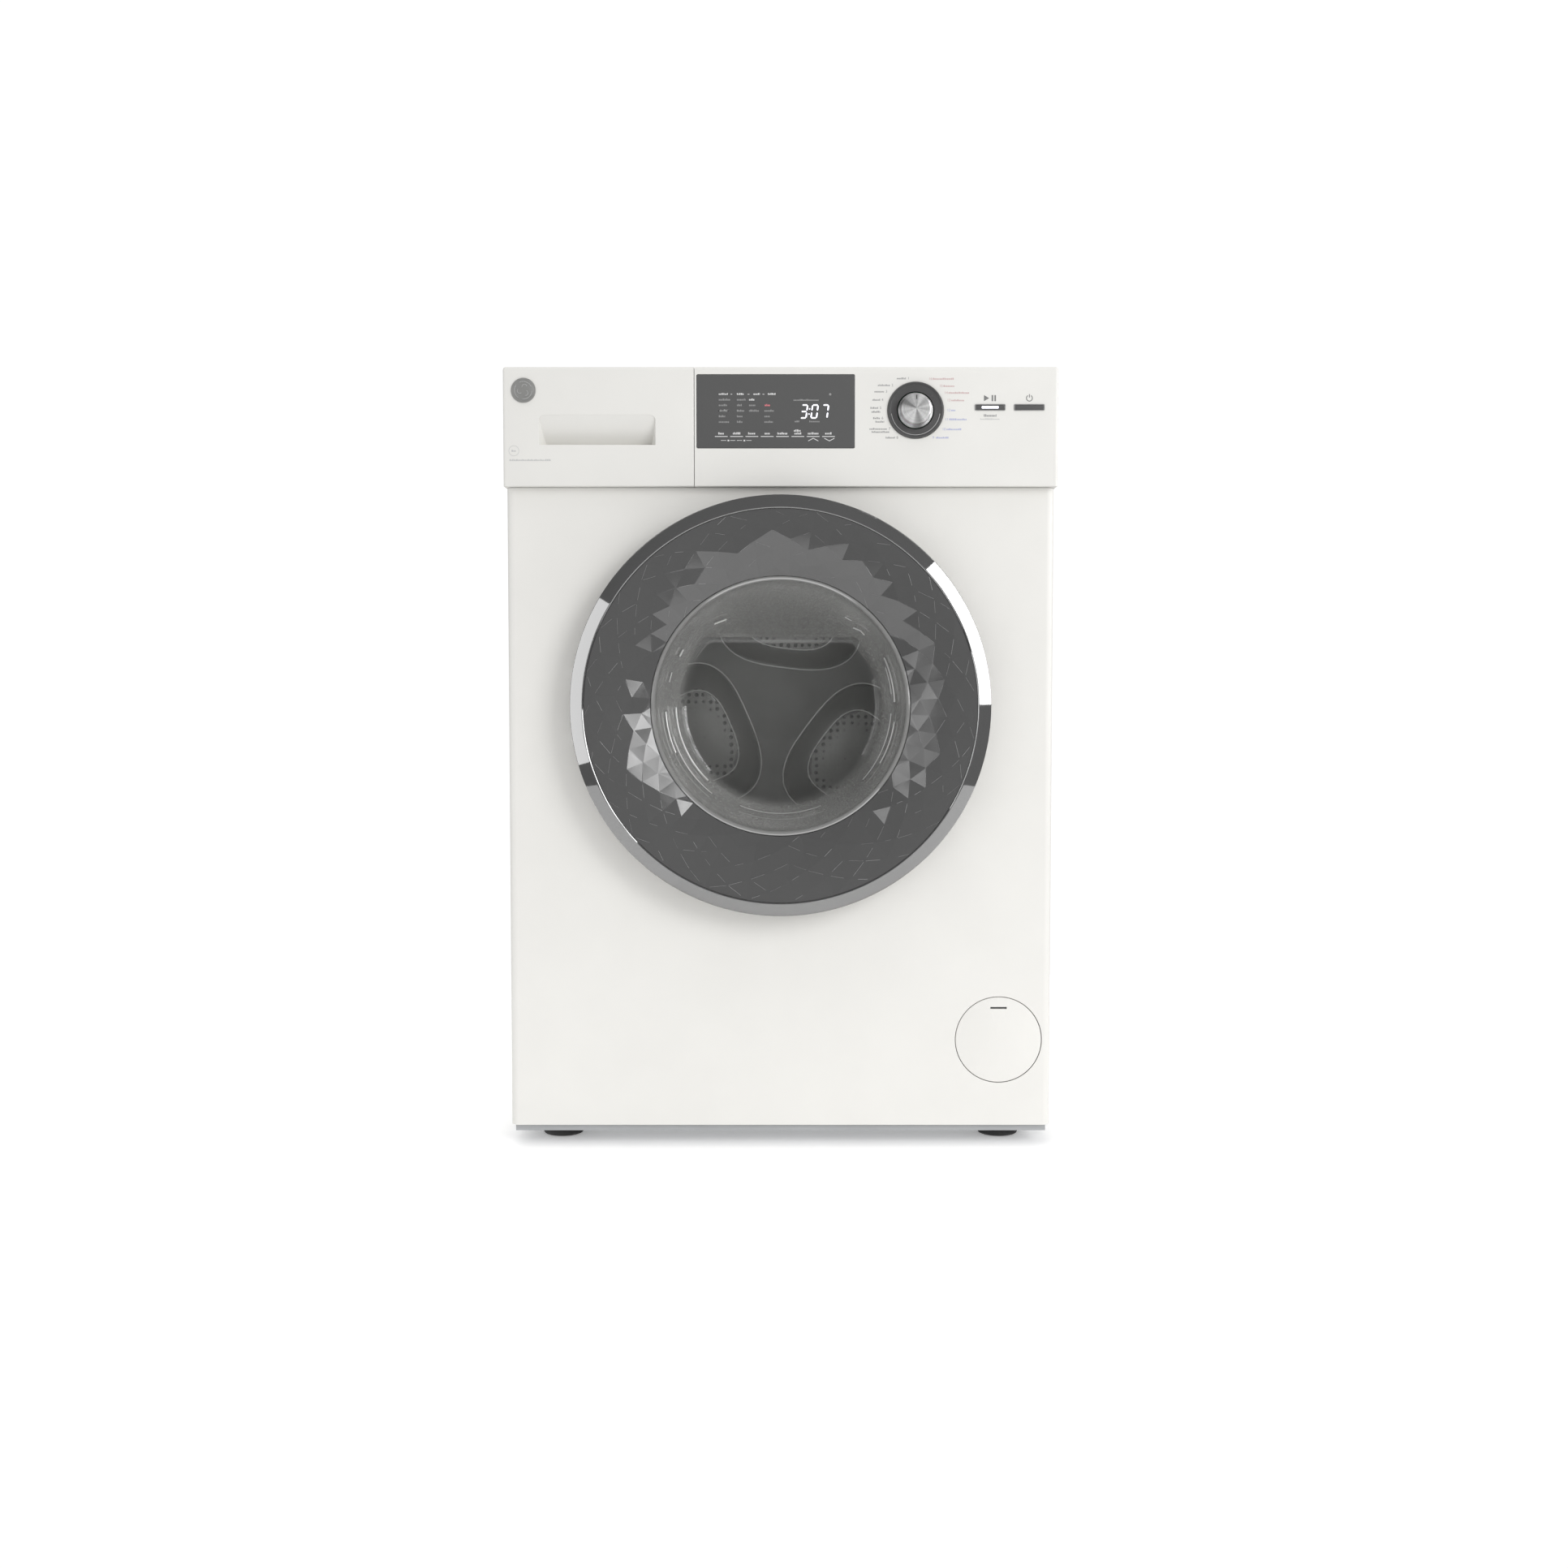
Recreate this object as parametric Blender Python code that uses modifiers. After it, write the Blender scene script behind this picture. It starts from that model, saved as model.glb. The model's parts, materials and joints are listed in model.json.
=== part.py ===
"""Front load washing machine, compact 24 inch class.

Metres, +Z up, front towards -Y, origin on the floor under the middle of the machine's box.
"""
import math

import bmesh
import bpy
from mathutils import Matrix, Vector

# Driving dimensions
WIDTH = 0.595  # console and worktop
BODY_WIDTH = 0.592  # front panel and cabinet wrap
HEIGHT = 0.845
DEPTH = 0.645  # door face to the inlet threads at the back
GAP = 0.0003  # clearance between pieces that touch
DOOR_PROUD = 0.048  # door face in front of the front panel
CONSOLE_PROUD = 0.012  # console in front of the front panel
BASE_Z = 0.015  # underside of the base pan
PANEL_LOW_Z = 0.022
CONSOLE_LOW_Z = 0.718
WORKTOP_LOW_Z = 0.827
SHEET = 0.002

DOOR_FACE_Y = -DEPTH / 2
PANEL_Y = DOOR_FACE_Y + DOOR_PROUD
CONSOLE_Y = PANEL_Y - CONSOLE_PROUD
CONSOLE_BACK_Y = PANEL_Y + 0.020
REAR_Y = 0.290  # outer face of the rear wall
BODY_X = BODY_WIDTH / 2
HALF_X = WIDTH / 2

DRUM_Z = 0.482  # height of the door's, tub's and drum's shared axis
DOOR_R = 0.2250
FACE_R = 0.2110
DISH_OUT_R = 0.2092
DISH_IN_R = 0.1400
DISH_DEPTH = 0.0265
GLASS_LIP_Y = -0.2915
DOOR_BACK_Y = PANEL_Y - 0.002
HINGE_X = -0.2191
HINGE_Y = -0.2925
HINGE_LUG_Z = 0.0362  # lugs above and below the door's middle
HINGE_LUG_H = 0.008

SEAM_X = -0.0923  # left end of the fascia
DRAWER_X = (-HALF_X, SEAM_X - 0.0006)

TUB_R = 0.255
DRUM_R = 0.240
TUB_FRONT_Y = -0.200
TUB_REAR_Y = 0.215
PULLEY_R = 0.140
PULLEY_Y = (0.2480, 0.2620)
MOTOR_X = 0.060
MOTOR_Z = 0.150
MOTOR_PULLEY_R = 0.0130

PUMP_X = 0.2388
PUMP_Z = 0.1166
PUMP_COVER_R = 0.0470

FEET_X = (-0.245, 0.245)
FEET_Y = (-0.215, 0.245)
INLETS_X = (0.160, 0.220)
INLET_Z = 0.775
OUTLET_X = -0.230
OUTLET_Z = 0.740
GLAND_X = 0.250
GLAND_Z = 0.120

KNOB_X = 0.1446
KNOB_Z = 0.7987
BUTTON_Z = 0.8017
START_X = 0.2243
POWER_X = 0.2663

BIG_STEPS = 36
MID_STEPS = 24
SMALL_STEPS = 14
DOOR_STEPS = 56

for thing in list(bpy.data.objects):
    bpy.data.objects.remove(thing, do_unlink=True)

PARTS = bpy.data.collections.new("washing_machine")
CUTTERS = bpy.data.collections.new("washing_machine_cutters")
for collection in (PARTS, CUTTERS):
    bpy.context.scene.collection.children.link(collection)


# Materials -------------------------------------------------------------------------------------------------

def material(name, colour, roughness, metallic=0.0):
    made = bpy.data.materials.new(name)
    made.use_nodes = True
    shader = made.node_tree.nodes["Principled BSDF"]
    shader.inputs["Base Color"].default_value = (*colour, 1.0)
    shader.inputs["Roughness"].default_value = roughness
    shader.inputs["Metallic"].default_value = metallic
    return made


ENAMEL = material("white_enamel", (0.82, 0.81, 0.78), 0.35)
WHITE_PLASTIC = material("white_plastic", (0.80, 0.79, 0.76), 0.40)
DARK_GLOSS = material("dark_gloss", (0.06, 0.06, 0.06), 0.08)
DARK_PLASTIC = material("dark_plastic", (0.10, 0.10, 0.10), 0.45)
GREY_PLASTIC = material("grey_plastic", (0.45, 0.46, 0.47), 0.50)
GLASS = material("door_glass", (0.75, 0.80, 0.80), 0.05)
STAINLESS = material("stainless", (0.62, 0.62, 0.62), 0.30, 1.0)
BRUSHED = material("brushed_metal", (0.70, 0.70, 0.71), 0.25, 1.0)
ZINC = material("zinc_plate", (0.55, 0.56, 0.57), 0.40, 1.0)
CAST = material("cast_aluminium", (0.50, 0.50, 0.51), 0.55, 1.0)
RUBBER = material("rubber", (0.20, 0.20, 0.21), 0.80)
CONCRETE = material("concrete", (0.50, 0.49, 0.46), 0.90)
BOARD = material("circuit_board", (0.05, 0.20, 0.10), 0.50)


# Modelling helpers -----------------------------------------------------------------------------------------

def place(obj, paint, as_cutter=False):
    """Puts a new object in its collection and gives it its material."""
    for owner in list(obj.users_collection):
        owner.objects.unlink(obj)
    (CUTTERS if as_cutter else PARTS).objects.link(obj)
    if as_cutter:
        obj.hide_render = True
        obj.display_type = "WIRE"
    elif paint:
        obj.data.materials.append(paint)
    return obj


def from_bmesh(name, bm, paint=None, as_cutter=False):
    mesh = bpy.data.meshes.new(name)
    bmesh.ops.recalc_face_normals(bm, faces=bm.faces)
    bm.to_mesh(mesh)
    bm.free()
    return place(bpy.data.objects.new(name, mesh), paint, as_cutter)


def box(name, low, high, paint=None, bevel=0.0, as_cutter=False, bevel_steps=2):
    """A block between two corners, with its origin at its middle."""
    low, high = Vector(low), Vector(high)
    bm = bmesh.new()
    bmesh.ops.create_cube(bm, size=1.0)
    bmesh.ops.scale(bm, vec=high - low, verts=bm.verts)
    obj = from_bmesh(name, bm, paint, as_cutter)
    obj.location = (low + high) / 2
    if bevel:
        add_bevel(obj, bevel, bevel_steps)
    return obj


def add_bevel(obj, width, steps=2):
    modifier = obj.modifiers.new("bevel", "BEVEL")
    modifier.width = width
    modifier.segments = steps
    modifier.limit_method = "ANGLE"
    modifier.angle_limit = math.radians(40)
    return modifier


def tray(name, low, high, wall, paint, open_side, as_cutter=False):
    """A box shell with one side open: +Z, -Y or +Y."""
    low, high = Vector(low), Vector(high)
    normal = {"+Z": Vector((0, 0, 1)), "-Y": Vector((0, -1, 0)), "+Y": Vector((0, 1, 0))}[open_side]
    bm = bmesh.new()
    bmesh.ops.create_cube(bm, size=1.0)
    lid = [face for face in bm.faces if face.normal.dot(normal) > 0.9]
    bmesh.ops.delete(bm, geom=lid, context="FACES")
    bmesh.ops.scale(bm, vec=high - low, verts=bm.verts)
    mesh = bpy.data.meshes.new(name)
    bm.to_mesh(mesh)
    bm.free()
    obj = place(bpy.data.objects.new(name, mesh), paint, as_cutter)
    obj.location = (low + high) / 2
    shell = obj.modifiers.new("walls", "SOLIDIFY")
    shell.thickness = wall
    shell.offset = -1.0
    shell.use_even_offset = True
    return obj


def rod(name, radius, start, end, paint=None, steps=SMALL_STEPS, as_cutter=False, end_radius=None):
    """A cylinder or cone between two points."""
    start, end = Vector(start), Vector(end)
    bm = bmesh.new()
    bmesh.ops.create_cone(
        bm,
        cap_ends=True,
        segments=steps,
        radius1=radius,
        radius2=radius if end_radius is None else end_radius,
        depth=(end - start).length,
    )
    obj = from_bmesh(name, bm, paint, as_cutter)
    obj.location = (start + end) / 2
    obj.rotation_euler = (end - start).to_track_quat("Z", "Y").to_euler()
    return obj


def turned(name, profile, centre, paint=None, steps=BIG_STEPS, axis="Y", as_cutter=False):
    """A turned solid. The profile holds (radius, place along the axis) pairs.

    A profile that starts and ends on the axis makes a solid; any other is closed into a ring.
    The centre is a point of the axis: the place along the axis is added to it.
    """
    sign = -1.0 if axis == "Y" else 1.0
    points = [(radius, sign * along) for radius, along in profile]
    is_solid = points[0][0] == 0 and points[-1][0] == 0
    area = 0.0
    for (r0, z0), (r1, z1) in zip(points, points[1:] + points[:1]):
        area += r0 * z1 - r1 * z0
    if area > 0:
        points.reverse()
    bm = bmesh.new()
    verts = [bm.verts.new((radius, 0.0, height)) for radius, height in points]
    for first, second in zip(verts, verts[1:]):
        bm.edges.new((first, second))
    if not is_solid:
        bm.edges.new((verts[-1], verts[0]))
    mesh = bpy.data.meshes.new(name)
    bm.to_mesh(mesh)
    bm.free()
    obj = place(bpy.data.objects.new(name, mesh), paint, as_cutter)
    obj.location = centre
    if axis == "Y":
        obj.rotation_euler = (math.pi / 2, 0, 0)
    screw = obj.modifiers.new("turn", "SCREW")
    screw.steps = steps
    screw.render_steps = steps
    screw.use_merge_vertices = True
    screw.merge_threshold = 0.00001
    screw.use_smooth_shade = True
    return obj


def plate(name, outline, low, high, paint=None, axis="Z", as_cutter=False):
    """A flat outline given thickness from low to high along its axis.

    Outline points are (x, y) for axis Z and (x, z) for axis Y.
    """
    curve = bpy.data.curves.new(name, "CURVE")
    curve.dimensions = "2D"
    curve.fill_mode = "BOTH"
    curve.extrude = (high - low) / 2
    spline = curve.splines.new("POLY")
    spline.points.add(len(outline) - 1)
    for point, (across, up) in zip(spline.points, outline):
        point.co = (across, up, 0, 1)
    spline.use_cyclic_u = True
    drawn = bpy.data.objects.new(name + "_outline", curve)
    bpy.context.scene.collection.objects.link(drawn)
    mesh = mesh_of(drawn)
    mesh.name = name
    obj = place(bpy.data.objects.new(name, mesh), paint, as_cutter)
    middle = (low + high) / 2
    if axis == "Y":
        obj.rotation_euler = (math.pi / 2, 0, 0)
        obj.location = (0, middle, 0)
    else:
        obj.location = (0, 0, middle)
    return obj


def mesh_of(drawn):
    """The welded mesh of a curve object, which is removed."""
    bpy.context.view_layer.update()
    evaluated = drawn.evaluated_get(bpy.context.evaluated_depsgraph_get())
    mesh = bpy.data.meshes.new_from_object(evaluated)
    bpy.data.objects.remove(drawn, do_unlink=True)
    bm = bmesh.new()
    bm.from_mesh(mesh)
    bmesh.ops.remove_doubles(bm, verts=bm.verts, dist=0.00001)
    bmesh.ops.recalc_face_normals(bm, faces=bm.faces)
    bm.to_mesh(mesh)
    bm.free()
    return mesh


def tube(name, points, radius, paint, resolution=2, as_cutter=False):
    """A tube through points, as a mesh."""
    curve = bpy.data.curves.new(name, "CURVE")
    curve.dimensions = "3D"
    curve.bevel_depth = radius
    curve.bevel_resolution = resolution
    curve.use_fill_caps = True
    spline = curve.splines.new("POLY")
    spline.points.add(len(points) - 1)
    for point, place_m in zip(spline.points, points):
        point.co = (*place_m, 1)
    drawn = bpy.data.objects.new(name + "_route", curve)
    bpy.context.scene.collection.objects.link(drawn)
    mesh = mesh_of(drawn)
    mesh.name = name
    return place(bpy.data.objects.new(name, mesh), paint, as_cutter)


def boolean(obj, other, operation):
    modifier = obj.modifiers.new(other.name, "BOOLEAN")
    modifier.object = other
    modifier.operation = operation
    modifier.solver = "EXACT"
    return obj


def cut(obj, *others):
    for other in others:
        boolean(obj, other, "DIFFERENCE")
    return obj


def add(obj, *others):
    for other in others:
        boolean(obj, other, "UNION")
    return obj


def joint_empty(name, location):
    empty = bpy.data.objects.new(name, None)
    empty.empty_display_size = 0.03
    empty.location = location
    PARTS.objects.link(empty)
    return empty


def mount_on(empty, *objects):
    """Parents objects to an empty and leaves them where they are."""
    for obj in objects:
        obj.parent = empty
        obj.matrix_parent_inverse = Matrix.Translation(empty.location).inverted()


def arc(centre, radius, start_deg, end_deg, steps):
    """Points on an arc, both ends included."""
    found = []
    for step in range(steps + 1):
        angle = math.radians(start_deg + (end_deg - start_deg) * step / steps)
        found.append((centre[0] + radius * math.cos(angle), centre[1] + radius * math.sin(angle)))
    return found


def helix(centre, radius, low_z, high_z, turns, per_turn):
    count = turns * per_turn
    found = []
    for step in range(count + 1):
        angle = 2 * math.pi * step / per_turn
        height = low_z + (high_z - low_z) * step / count
        found.append((centre[0] + radius * math.cos(angle), centre[1] + radius * math.sin(angle), height))
    return found


# Cabinet ---------------------------------------------------------------------------------------------------

def build_cabinet():
    side_front_y = PANEL_Y + 0.0206  # just behind the front panel's side returns
    flange = 0.004
    outer = [
        (BODY_X - flange, side_front_y),
        (BODY_X, side_front_y),
        (BODY_X, REAR_Y),
        (-BODY_X, REAR_Y),
        (-BODY_X, side_front_y),
        (-BODY_X + flange, side_front_y),
    ]
    bm = bmesh.new()
    low = [bm.verts.new((x, y, PANEL_LOW_Z)) for x, y in outer]
    high = [bm.verts.new((x, y, WORKTOP_LOW_Z - GAP)) for x, y in outer]
    for index in range(len(outer) - 1):
        bm.faces.new((low[index], low[index + 1], high[index + 1], high[index]))
    mesh = bpy.data.meshes.new("cabinet_wrap")
    bm.to_mesh(mesh)
    bm.free()
    wrap = place(bpy.data.objects.new("cabinet_wrap", mesh), ENAMEL)
    sheet = wrap.modifiers.new("sheet", "SOLIDIFY")
    sheet.thickness = SHEET
    sheet.offset = -1.0
    cut(
        wrap,
        box("service_opening", (-0.19, REAR_Y - 0.01, 0.25), (0.19, REAR_Y + 0.01, 0.67), as_cutter=True),
    )
    rear_holes = [(0.0165, OUTLET_X, OUTLET_Z), (0.0105, GLAND_X, GLAND_Z)]
    rear_holes += [(0.0150, x, INLET_Z) for x in INLETS_X]
    for radius, x, z in rear_holes:
        cut(wrap, rod("rear_hole", radius, (x, REAR_Y - 0.02, z), (x, REAR_Y + 0.02, z), as_cutter=True))

    pan = tray(
        "base_pan",
        (-0.2915, PANEL_Y + 0.0050, BASE_Z),
        (0.2915, REAR_Y - 0.003, 0.050),
        0.003,
        GREY_PLASTIC,
        "+Z",
    )
    for x in FEET_X:
        for y in FEET_Y:
            cut(pan, rod("foot_hole", 0.0066, (x, y, 0), (x, y, 0.04), as_cutter=True))

    box(
        "worktop",
        (-HALF_X, CONSOLE_BACK_Y + GAP, WORKTOP_LOW_Z),
        (HALF_X, REAR_Y + 0.002, HEIGHT),
        WHITE_PLASTIC,
        bevel=0.003,
    )

    cover = box("rear_cover", (-0.205, REAR_Y + GAP, 0.235), (0.205, REAR_Y + 0.0020, 0.685), ENAMEL)
    bulge = rod(
        "cover_bulge",
        0.170,
        (0, REAR_Y + 0.001, DRUM_Z),
        (0, REAR_Y + 0.0170, DRUM_Z),
        as_cutter=True,
        steps=BIG_STEPS,
        end_radius=0.155,
    )
    hollow = rod(
        "cover_hollow",
        0.1695,
        (0, REAR_Y - 0.001, DRUM_Z),
        (0, REAR_Y + 0.0154, DRUM_Z),
        as_cutter=True,
        steps=BIG_STEPS,
        end_radius=0.153,
    )
    add(cover, bulge)
    cut(cover, hollow)


def build_front_panel():
    radius = 0.009
    returned = 0.020
    left = arc((-BODY_X + radius, PANEL_Y + radius), radius, 180, 270, 4)
    right = arc((BODY_X - radius, PANEL_Y + radius), radius, 270, 360, 4)
    path = [(-BODY_X, PANEL_Y + returned)] + left + right + [(BODY_X, PANEL_Y + returned)]
    bm = bmesh.new()
    low = [bm.verts.new((x, y, PANEL_LOW_Z)) for x, y in path]
    high = [bm.verts.new((x, y, CONSOLE_LOW_Z - 0.0015)) for x, y in path]
    for index in range(len(path) - 1):
        bm.faces.new((low[index], low[index + 1], high[index + 1], high[index]))
    mesh = bpy.data.meshes.new("front_panel")
    bm.to_mesh(mesh)
    bm.free()
    panel = place(bpy.data.objects.new("front_panel", mesh), ENAMEL)
    sheet = panel.modifiers.new("sheet", "SOLIDIFY")
    sheet.thickness = SHEET
    sheet.offset = -1.0
    front, back = PANEL_Y - 0.02, PANEL_Y + 0.01
    cut(
        panel,
        rod("door_hole", 0.160, (0, back, DRUM_Z), (0, front, DRUM_Z), as_cutter=True, steps=BIG_STEPS),
        rod(
            "pump_hole",
            PUMP_COVER_R + 0.0006,
            (PUMP_X, back, PUMP_Z),
            (PUMP_X, front, PUMP_Z),
            as_cutter=True,
            steps=MID_STEPS,
        ),
        box("hook_slot", (0.180, front, DRUM_Z - 0.008), (0.202, back, DRUM_Z + 0.008), as_cutter=True),
    )
    for side in (-1, 1):
        middle = DRUM_Z + side * HINGE_LUG_Z
        cut(
            panel,
            box(
                "hinge_slot",
                (HINGE_X - 0.0045, front, middle - 0.005),
                (HINGE_X + 0.0045, back, middle + 0.005),
                as_cutter=True,
            ),
        )


def build_feet():
    names = {(-1, -1): "foot_front_left", (1, -1): "foot_front_right", (-1, 1): "foot_rear_left",
             (1, 1): "foot_rear_right"}
    for (side, end), name in names.items():
        x, y = FEET_X[side > 0], FEET_Y[end > 0]
        profile = [
            (0, 0),
            (0.0210, 0),
            (0.0225, 0.002),
            (0.0200, 0.008),
            (0.0110, 0.0095),
            (0.0110, BASE_Z - GAP),
            (0.0060, BASE_Z - GAP),
            (0.0060, 0.052),
            (0, 0.052),
        ]
        foot = turned(name, profile, (0, 0, 0), RUBBER, steps=SMALL_STEPS, axis="Z")
        foot.location = (x, y, 0)
        empty = joint_empty(name + "_screw", (x, y, 0))
        mount_on(empty, foot)


# Console ---------------------------------------------------------------------------------------------------

def key_switch(name, x):
    """The switch on the board behind a button."""
    low = (x - 0.004, -0.2680, BUTTON_Z - 0.0035)
    high = (x + 0.004, -0.2630, BUTTON_Z + 0.0035)
    return box(name, low, high, as_cutter=True)


def build_console():
    fascia = tray(
        "console_fascia",
        (SEAM_X, CONSOLE_Y, CONSOLE_LOW_Z),
        (HALF_X, CONSOLE_BACK_Y, HEIGHT),
        0.003,
        WHITE_PLASTIC,
        "+Y",
    )
    front, back = CONSOLE_Y - 0.01, CONSOLE_Y + 0.008
    display_low, display_high = (-0.0897, 0.7585), (0.0792, 0.8365)
    slack = 0.0004
    cut(
        fascia,
        box(
            "display_opening",
            (display_low[0] - slack, front, display_low[1] - slack),
            (display_high[0] + slack, back, display_high[1] + slack),
            as_cutter=True,
        ),
        rod(
            "dial_hole",
            0.0304,
            (KNOB_X, back, KNOB_Z),
            (KNOB_X, front, KNOB_Z),
            as_cutter=True,
            steps=MID_STEPS,
        ),
    )
    for x in (START_X, POWER_X):
        cut(
            fascia,
            box(
                "button_slot",
                (x - 0.0158, front, BUTTON_Z - 0.0029),
                (x + 0.0158, back, BUTTON_Z + 0.0029),
                as_cutter=True,
            ),
        )
    add_bevel(fascia, 0.0008, 1)

    box(
        "display_window",
        (display_low[0], CONSOLE_Y - 0.0002, display_low[1]),
        (display_high[0], CONSOLE_Y + 0.0040, display_high[1]),
        DARK_GLOSS,
    )
    board = box("control_board", (-0.085, -0.2640, 0.7600), (0.2850, -0.2620, 0.8360), BOARD)
    add(
        board,
        box("display_module", (-0.080, -0.2780, 0.7650), (0.070, -0.2630, 0.8300), as_cutter=True),
        box(
            "encoder_body",
            (KNOB_X - 0.008, -0.2720, KNOB_Z - 0.008),
            (KNOB_X + 0.008, -0.2630, KNOB_Z + 0.008),
            as_cutter=True,
        ),
        key_switch("start_switch", START_X),
        key_switch("power_switch", POWER_X),
    )

    ring_profile = [
        (0.0300, CONSOLE_Y - 0.0024),
        (0.0300, CONSOLE_Y + 0.0050),
        (0.0200, CONSOLE_Y + 0.0050),
        (0.0200, CONSOLE_Y + 0.0012),
        (0.0285, CONSOLE_Y - 0.0024),
    ]
    turned("dial_bezel", ring_profile, (KNOB_X, 0, KNOB_Z), DARK_GLOSS, steps=MID_STEPS)

    cap_profile = [
        (0, CONSOLE_Y - 0.0160),
        (0.0145, CONSOLE_Y - 0.0160),
        (0.0160, CONSOLE_Y - 0.0146),
        (0.0168, CONSOLE_Y + 0.0005),
        (0.0190, CONSOLE_Y + 0.0010),
        (0.0190, CONSOLE_Y + 0.0040),
        (0.0030, CONSOLE_Y + 0.0040),
        (0.0030, -0.2724),
        (0, -0.2724),
    ]
    cap = turned("program_knob", cap_profile, (KNOB_X, 0, KNOB_Z), BRUSHED, steps=MID_STEPS)
    mount_on(joint_empty("knob_axis", (KNOB_X, CONSOLE_Y, KNOB_Z)), cap)

    for name, x in (("start_button", START_X), ("power_button", POWER_X)):
        button = box(
            name,
            (x - 0.0154, CONSOLE_Y - 0.0008, BUTTON_Z - 0.0025),
            (x + 0.0154, -0.2703, BUTTON_Z + 0.0025),
            DARK_GLOSS,
            bevel=0.0004,
            bevel_steps=1,
        )
        mount_on(joint_empty(name + "_travel", (x, CONSOLE_Y, BUTTON_Z)), button)


def build_drawer():
    travel = joint_empty("drawer_travel", (-0.1950, CONSOLE_Y, 0.775))
    front = tray(
        "drawer_front",
        (DRAWER_X[0], CONSOLE_Y, CONSOLE_LOW_Z),
        (DRAWER_X[1], CONSOLE_BACK_Y, HEIGHT),
        0.003,
        WHITE_PLASTIC,
        "+Y",
    )
    pull_low, pull_high = (-0.2589, 0.7619), (-0.1339, 0.7940)
    bm = bmesh.new()
    bmesh.ops.create_cube(bm, size=1.0)
    depth = 0.0200
    for vert in bm.verts:
        left_side = vert.co.x < 0
        is_low = vert.co.z < 0
        is_front = vert.co.y < 0
        splay = 0.008 if is_low and not is_front else 0.0
        vert.co.x = pull_low[0] + splay if left_side else pull_high[0] - splay
        vert.co.z = pull_low[1] if is_low else pull_high[1]
        vert.co.y = CONSOLE_Y - 0.004
        if not is_front:
            vert.co.y = CONSOLE_Y + (depth if is_low else 0.0005)
    pull = from_bmesh("finger_pull", bm, as_cutter=True)
    backing = box(
        "pull_backing",
        (pull_low[0] - 0.004, CONSOLE_Y + 0.001, pull_low[1] - 0.004),
        (pull_high[0] + 0.004, CONSOLE_BACK_Y - 0.0006, pull_high[1] + 0.004),
        as_cutter=True,
    )
    add(front, backing)
    cut(front, pull)
    add_bevel(front, 0.0012, 2)

    tray_box = tray(
        "drawer_tray",
        (-0.2790, CONSOLE_BACK_Y - GAP, 0.7430),
        (-0.1060, -0.0350, 0.8050),
        0.0022,
        WHITE_PLASTIC,
        "+Z",
    )
    for x in (-0.2220, -0.1660):
        add(
            tray_box,
            box(
                "divider",
                (x - 0.001, CONSOLE_BACK_Y + 0.0007, 0.7440),
                (x + 0.001, -0.0360, 0.7980),
                as_cutter=True,
            ),
        )
    siphon = box(
        "siphon_cap",
        (-0.2205, -0.1200, 0.7720),
        (-0.1675, -0.0380, 0.7960),
        GREY_PLASTIC,
        bevel=0.003,
    )
    mount_on(travel, front, tray_box, siphon)

    tray(
        "dispenser_housing",
        (-0.2850, CONSOLE_BACK_Y + 0.0010, 0.7390),
        (-0.1000, -0.0250, 0.8240),
        0.0030,
        GREY_PLASTIC,
        "-Y",
    )


# Door ------------------------------------------------------------------------------------------------------

def dish_y(radius):
    """How far back the dish's front surface is at a radius."""
    share = (DISH_OUT_R - radius) / (DISH_OUT_R - DISH_IN_R)
    return DOOR_FACE_Y + 0.0010 + DISH_DEPTH * share ** 1.8


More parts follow.
